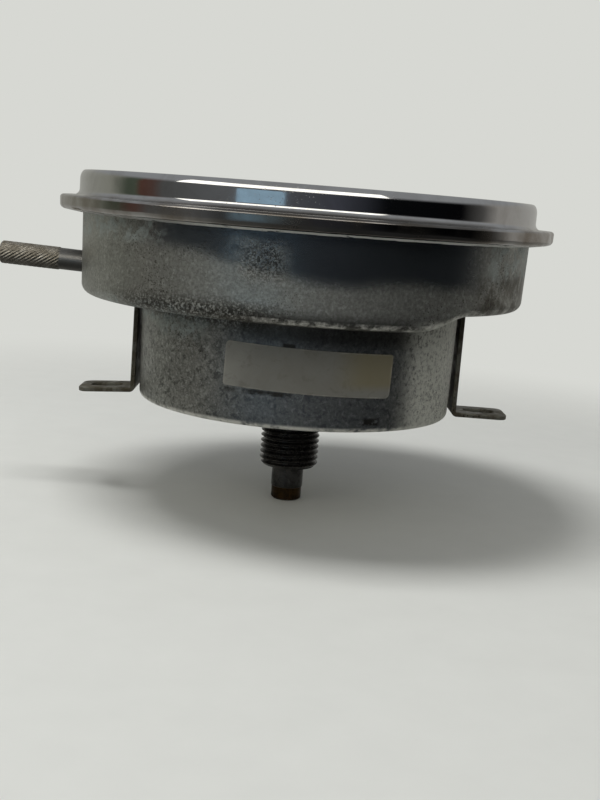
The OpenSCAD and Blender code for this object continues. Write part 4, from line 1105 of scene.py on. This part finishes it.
def strip_path(s, height, droop):
    """Place (x, z) and side direction at the distance s along a bracket's middle, in millimetres."""
    flat, bend_x, arm = top_l - bend_in, arm_out + bend_in, height - 2 * bend_out
    if s < flat:
        return (arm_out + top_l - s, height - strip_t / 2), (0, 1)
    s -= flat
    if s < bend_l:
        a = math.pi / 2 + s / bend_r
        side = (math.cos(a), math.sin(a))
        return (bend_x + bend_r * side[0], height - bend_out + bend_r * side[1]), side
    s -= bend_l
    if s < arm:
        return (bend_x - bend_r, height - bend_out - s), (-1, 0)
    s -= arm
    foot_turn = math.pi / 2 - droop
    a = math.pi + min(s / bend_r, foot_turn)
    side = (math.cos(a), math.sin(a))
    out = max(0.0, s - bend_r * foot_turn)
    return (bend_x + bend_r * side[0] - out * side[1], bend_out + bend_r * side[1] + out * side[0]), side


def bracket(name, height, side, droop):
    """A bracket at the left (side -1) or the right (side 1), with its top at a height in millimetres."""
    arm, bend_from = height - 2 * bend_out, top_l - bend_in
    bend_to = bend_from + bend_l + arm
    length = bend_to + bend_l + foot_l - bend_in
    steps = range(bend_steps + 1)
    cuts = [start + bend_l * i / bend_steps for start in (bend_from, bend_to) for i in steps]
    cuts += [bend_from + bend_l + arm * i / arm_steps for i in range(1, arm_steps)]
    corners = (top_corner, foot_corner, foot_corner, top_corner)
    outer = rounded(length, strip_w, corners, shift=length / 2)
    slot = rounded(slot_l, slot_w, ((slot_w - slot_flat) / 2,) * 4, 10, length - foot_l / 2)
    hole = arc((top_l / 2 - hole_in, 0), screw_hole / 2, 0, 360, hole_steps)[:-1]
    points, faces = plate([outer, slot, hole], strip_t, strip_bevel, cuts)
    bent = []
    for p in points:
        (px, pz), (nx, nz) = strip_path(p.x, height, droop)
        bent.append((side * (px + nx * p.z) * mm, p.y * mm, (pz + nz * p.z) * mm))
    return new_piece(name, bent, faces, wide_crease)


dress(bracket("bracket_left", left_h, -1, foot_droop), "bracket_steel", stands_for=["left_bracket"])
dress(bracket("bracket_right", right_h, 1, 0.0), "bracket_steel", stands_for=["right_bracket"])

# %% [markdown]
# The label is wrapped round the lower can, a little askew, and it is left bare. A Shrinkwrap modifier
# would press it flat onto the case, so its points are placed on the can's cone instead, one glue line
# above the metal. Its corners are worn round, some more than others.

# %% Label
label_w, label_h, label_z, label_t, label_bevel, glue_t = 41.9, 10.7, 14.3, 0.15, 0.03, 0.03
label_way, label_tilt = math.radians(274.25), Matrix.Rotation(math.radians(-1.3), 3, "Z")
label_corners, label_rows, label_columns = (0.7, 1.3, 0.8, 1.1), (-2.5, 0, 2.5), 48
label_cuts = [label_w * (i / label_columns - 0.5) for i in range(1, label_columns)]
sheet = rounded(label_w, label_h, label_corners)
points, faces = plate([sheet], label_t, label_bevel, label_cuts, label_rows)
wrapped = []
for p in [label_tilt @ p for p in points]:
    height = (label_z + p.y) * mm
    r = low_r + (low_top_r - low_r) * height / floor_z + (glue_t + label_t / 2 + p.z) * mm
    way = label_way + p.x * mm / r
    wrapped.append((r * math.cos(way), r * math.sin(way), height))
dress(new_piece("paper_label", wrapped, faces, wide_crease), "label_paper", stands_for=["rating_label"])

# %% [markdown]
# ## The dial
# The dial is black with ivory marks. Ticks are thin raised bars, and the numbers are Blender's own text
# turned into a mesh, which needs no font file. An image could hold the print, but shapes stay sharp from
# close by. Only plain numbers are used, 0 to 120 over 240 degrees, as the pointer swings.

# %% Ticks and numbers
dial_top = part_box("dial")[1].z
zero_way, sweep, top_speed = math.radians(210), math.radians(240), 120
mark_h, mark_bevel, tick_out, tick_round = 0.06, 0.01, 50.8, 0.1
tick_sizes = {20: (5.6, 1.1), 10: (4.2, 0.7), 2: (2.4, 0.4)}
number_step, number_size, number_r = 20, 7.4, 39.2


def joined(name, parts):
    """One piece from several lists of points and faces."""
    points, faces = [], []
    for part_points, part_faces in parts:
        faces += [[i + len(points) for i in face] for face in part_faces]
        points += part_points
    return new_piece(name, points, faces, wide_crease)


def words(text, size, cuts_y=()):
    """Points and faces of a number in Blender's own font, about its middle, in millimetres."""
    letters = bpy.data.curves.new("number", "FONT")
    letters.body, letters.size, letters.extrude = text, size, mark_h / 2
    letters.align_x, letters.align_y = "CENTER", "CENTER"
    letters.resolution_u = 4
    return flat_mesh(letters, (), cuts_y)


def on_dial(points, radius, way, upright=False):
    """Moves flat points to a radius and direction on the dial, turned outwards or left upright."""
    turn = Matrix.Rotation(0 if upright else way - math.pi / 2, 3, "Z")
    middle = Vector((math.cos(way), math.sin(way), 0)) * radius
    lift = Vector((0, 0, dial_top / mm + mark_h / 2))
    return [(turn @ p + middle + lift) * mm for p in points]


ticks, numbers = [], []
for speed in range(0, top_speed + 1, min(tick_sizes)):
    way = zero_way - sweep * speed / top_speed
    length, width = next(size for step, size in tick_sizes.items() if speed % step == 0)
    bar, bar_faces = plate([rounded(width, length, (tick_round,) * 4, 2)], mark_h, mark_bevel)
    ticks.append((on_dial(bar, tick_out - length / 2, way), bar_faces))
    if speed % number_step == 0:
        figure, figure_faces = words(str(speed), number_size)
        numbers.append((on_dial(figure, number_r, way, True), figure_faces))
dress(joined("dial_ticks", ticks), "pointer_paint")
dress(joined("dial_numbers", numbers), "pointer_paint")

# %% [markdown]
# Each counter looks out through a window with a thin bright frame, which hides the cut edge of the dial.
# It could be part of the dial's mesh, but as a plate of its own, with the window for its hole, it takes a
# metal finish. The joints of the construction say where the drums stand.

# %% Window frames
drum_pitch, drum_gap, window_h, window_play, window_round = 4.4, 1.2, 6.5, 0.4, 0.15
frame_w, frame_t, frame_bevel, frame_round = 0.9, 0.5, 0.12, 0.5
readings = {"total": [6, 1, 3, 4, 0], "trip": [2, 7, 5, 0]}
pivots = {joint["child"]: joint["pos_m"] for joint in frame["joints"]}
for word, shown in readings.items():
    middle = pivots[word + "_wheel_1"][1] / mm
    window_w = len(shown) * drum_pitch - drum_gap + window_play
    outer = rounded(window_w + 2 * frame_w, window_h + 2 * frame_w, (frame_round,) * 4)
    points, faces = plate([outer, rounded(window_w, window_h, (window_round,) * 4)], frame_t, frame_bevel)
    placed = [(p.x * mm, (p.y + middle) * mm, dial_top + (p.z + frame_t / 2) * mm) for p in points]
    dress(new_piece(word + "_window_frame", placed, faces), "shaft_steel")

# %% [markdown]
# The figures on the number drums are text as well, cut across and rolled round the drum; a picture
# wrapped round it would need a file. A drum turns so that the figures rise in the window, so the next
# higher one waits below. Each drum carries its own ten figures and rides on that drum's body.

# %% Drum figures
drum_r, figure_size = 7.6, 4.3
bend_cuts = [-1.5, -1.0, -0.5, 0, 0.5, 1.0, 1.5]
figures = [words(str(k), figure_size, bend_cuts) for k in range(10)]


def rolled(points, k, reading, drum_x, pivot):
    """Points of the figure k on a drum that shows a reading, rolled round the drum's pivot."""
    result = []
    for p in points:
        a = p.y / drum_r - math.tau * (k - reading) / 10
        r = drum_r + p.z + mark_h / 2
        spot = Vector((drum_x + p.x, r * math.sin(a), r * math.cos(a))) * mm
        result.append(spot + Vector((0, pivot[1], pivot[2])))
    return result


for word, shown in readings.items():
    for i, reading in enumerate(shown, 1):
        wheel = f"{word}_wheel_{i}"
        drum_x = ((len(shown) + 1) / 2 - i) * drum_pitch
        parts = [(rolled(points, k, reading, drum_x, pivots[wheel]), faces)
                 for k, (points, faces) in enumerate(figures)]
        dress(joined(f"{word}_figures_{i}", parts), "cap_black", wheel)
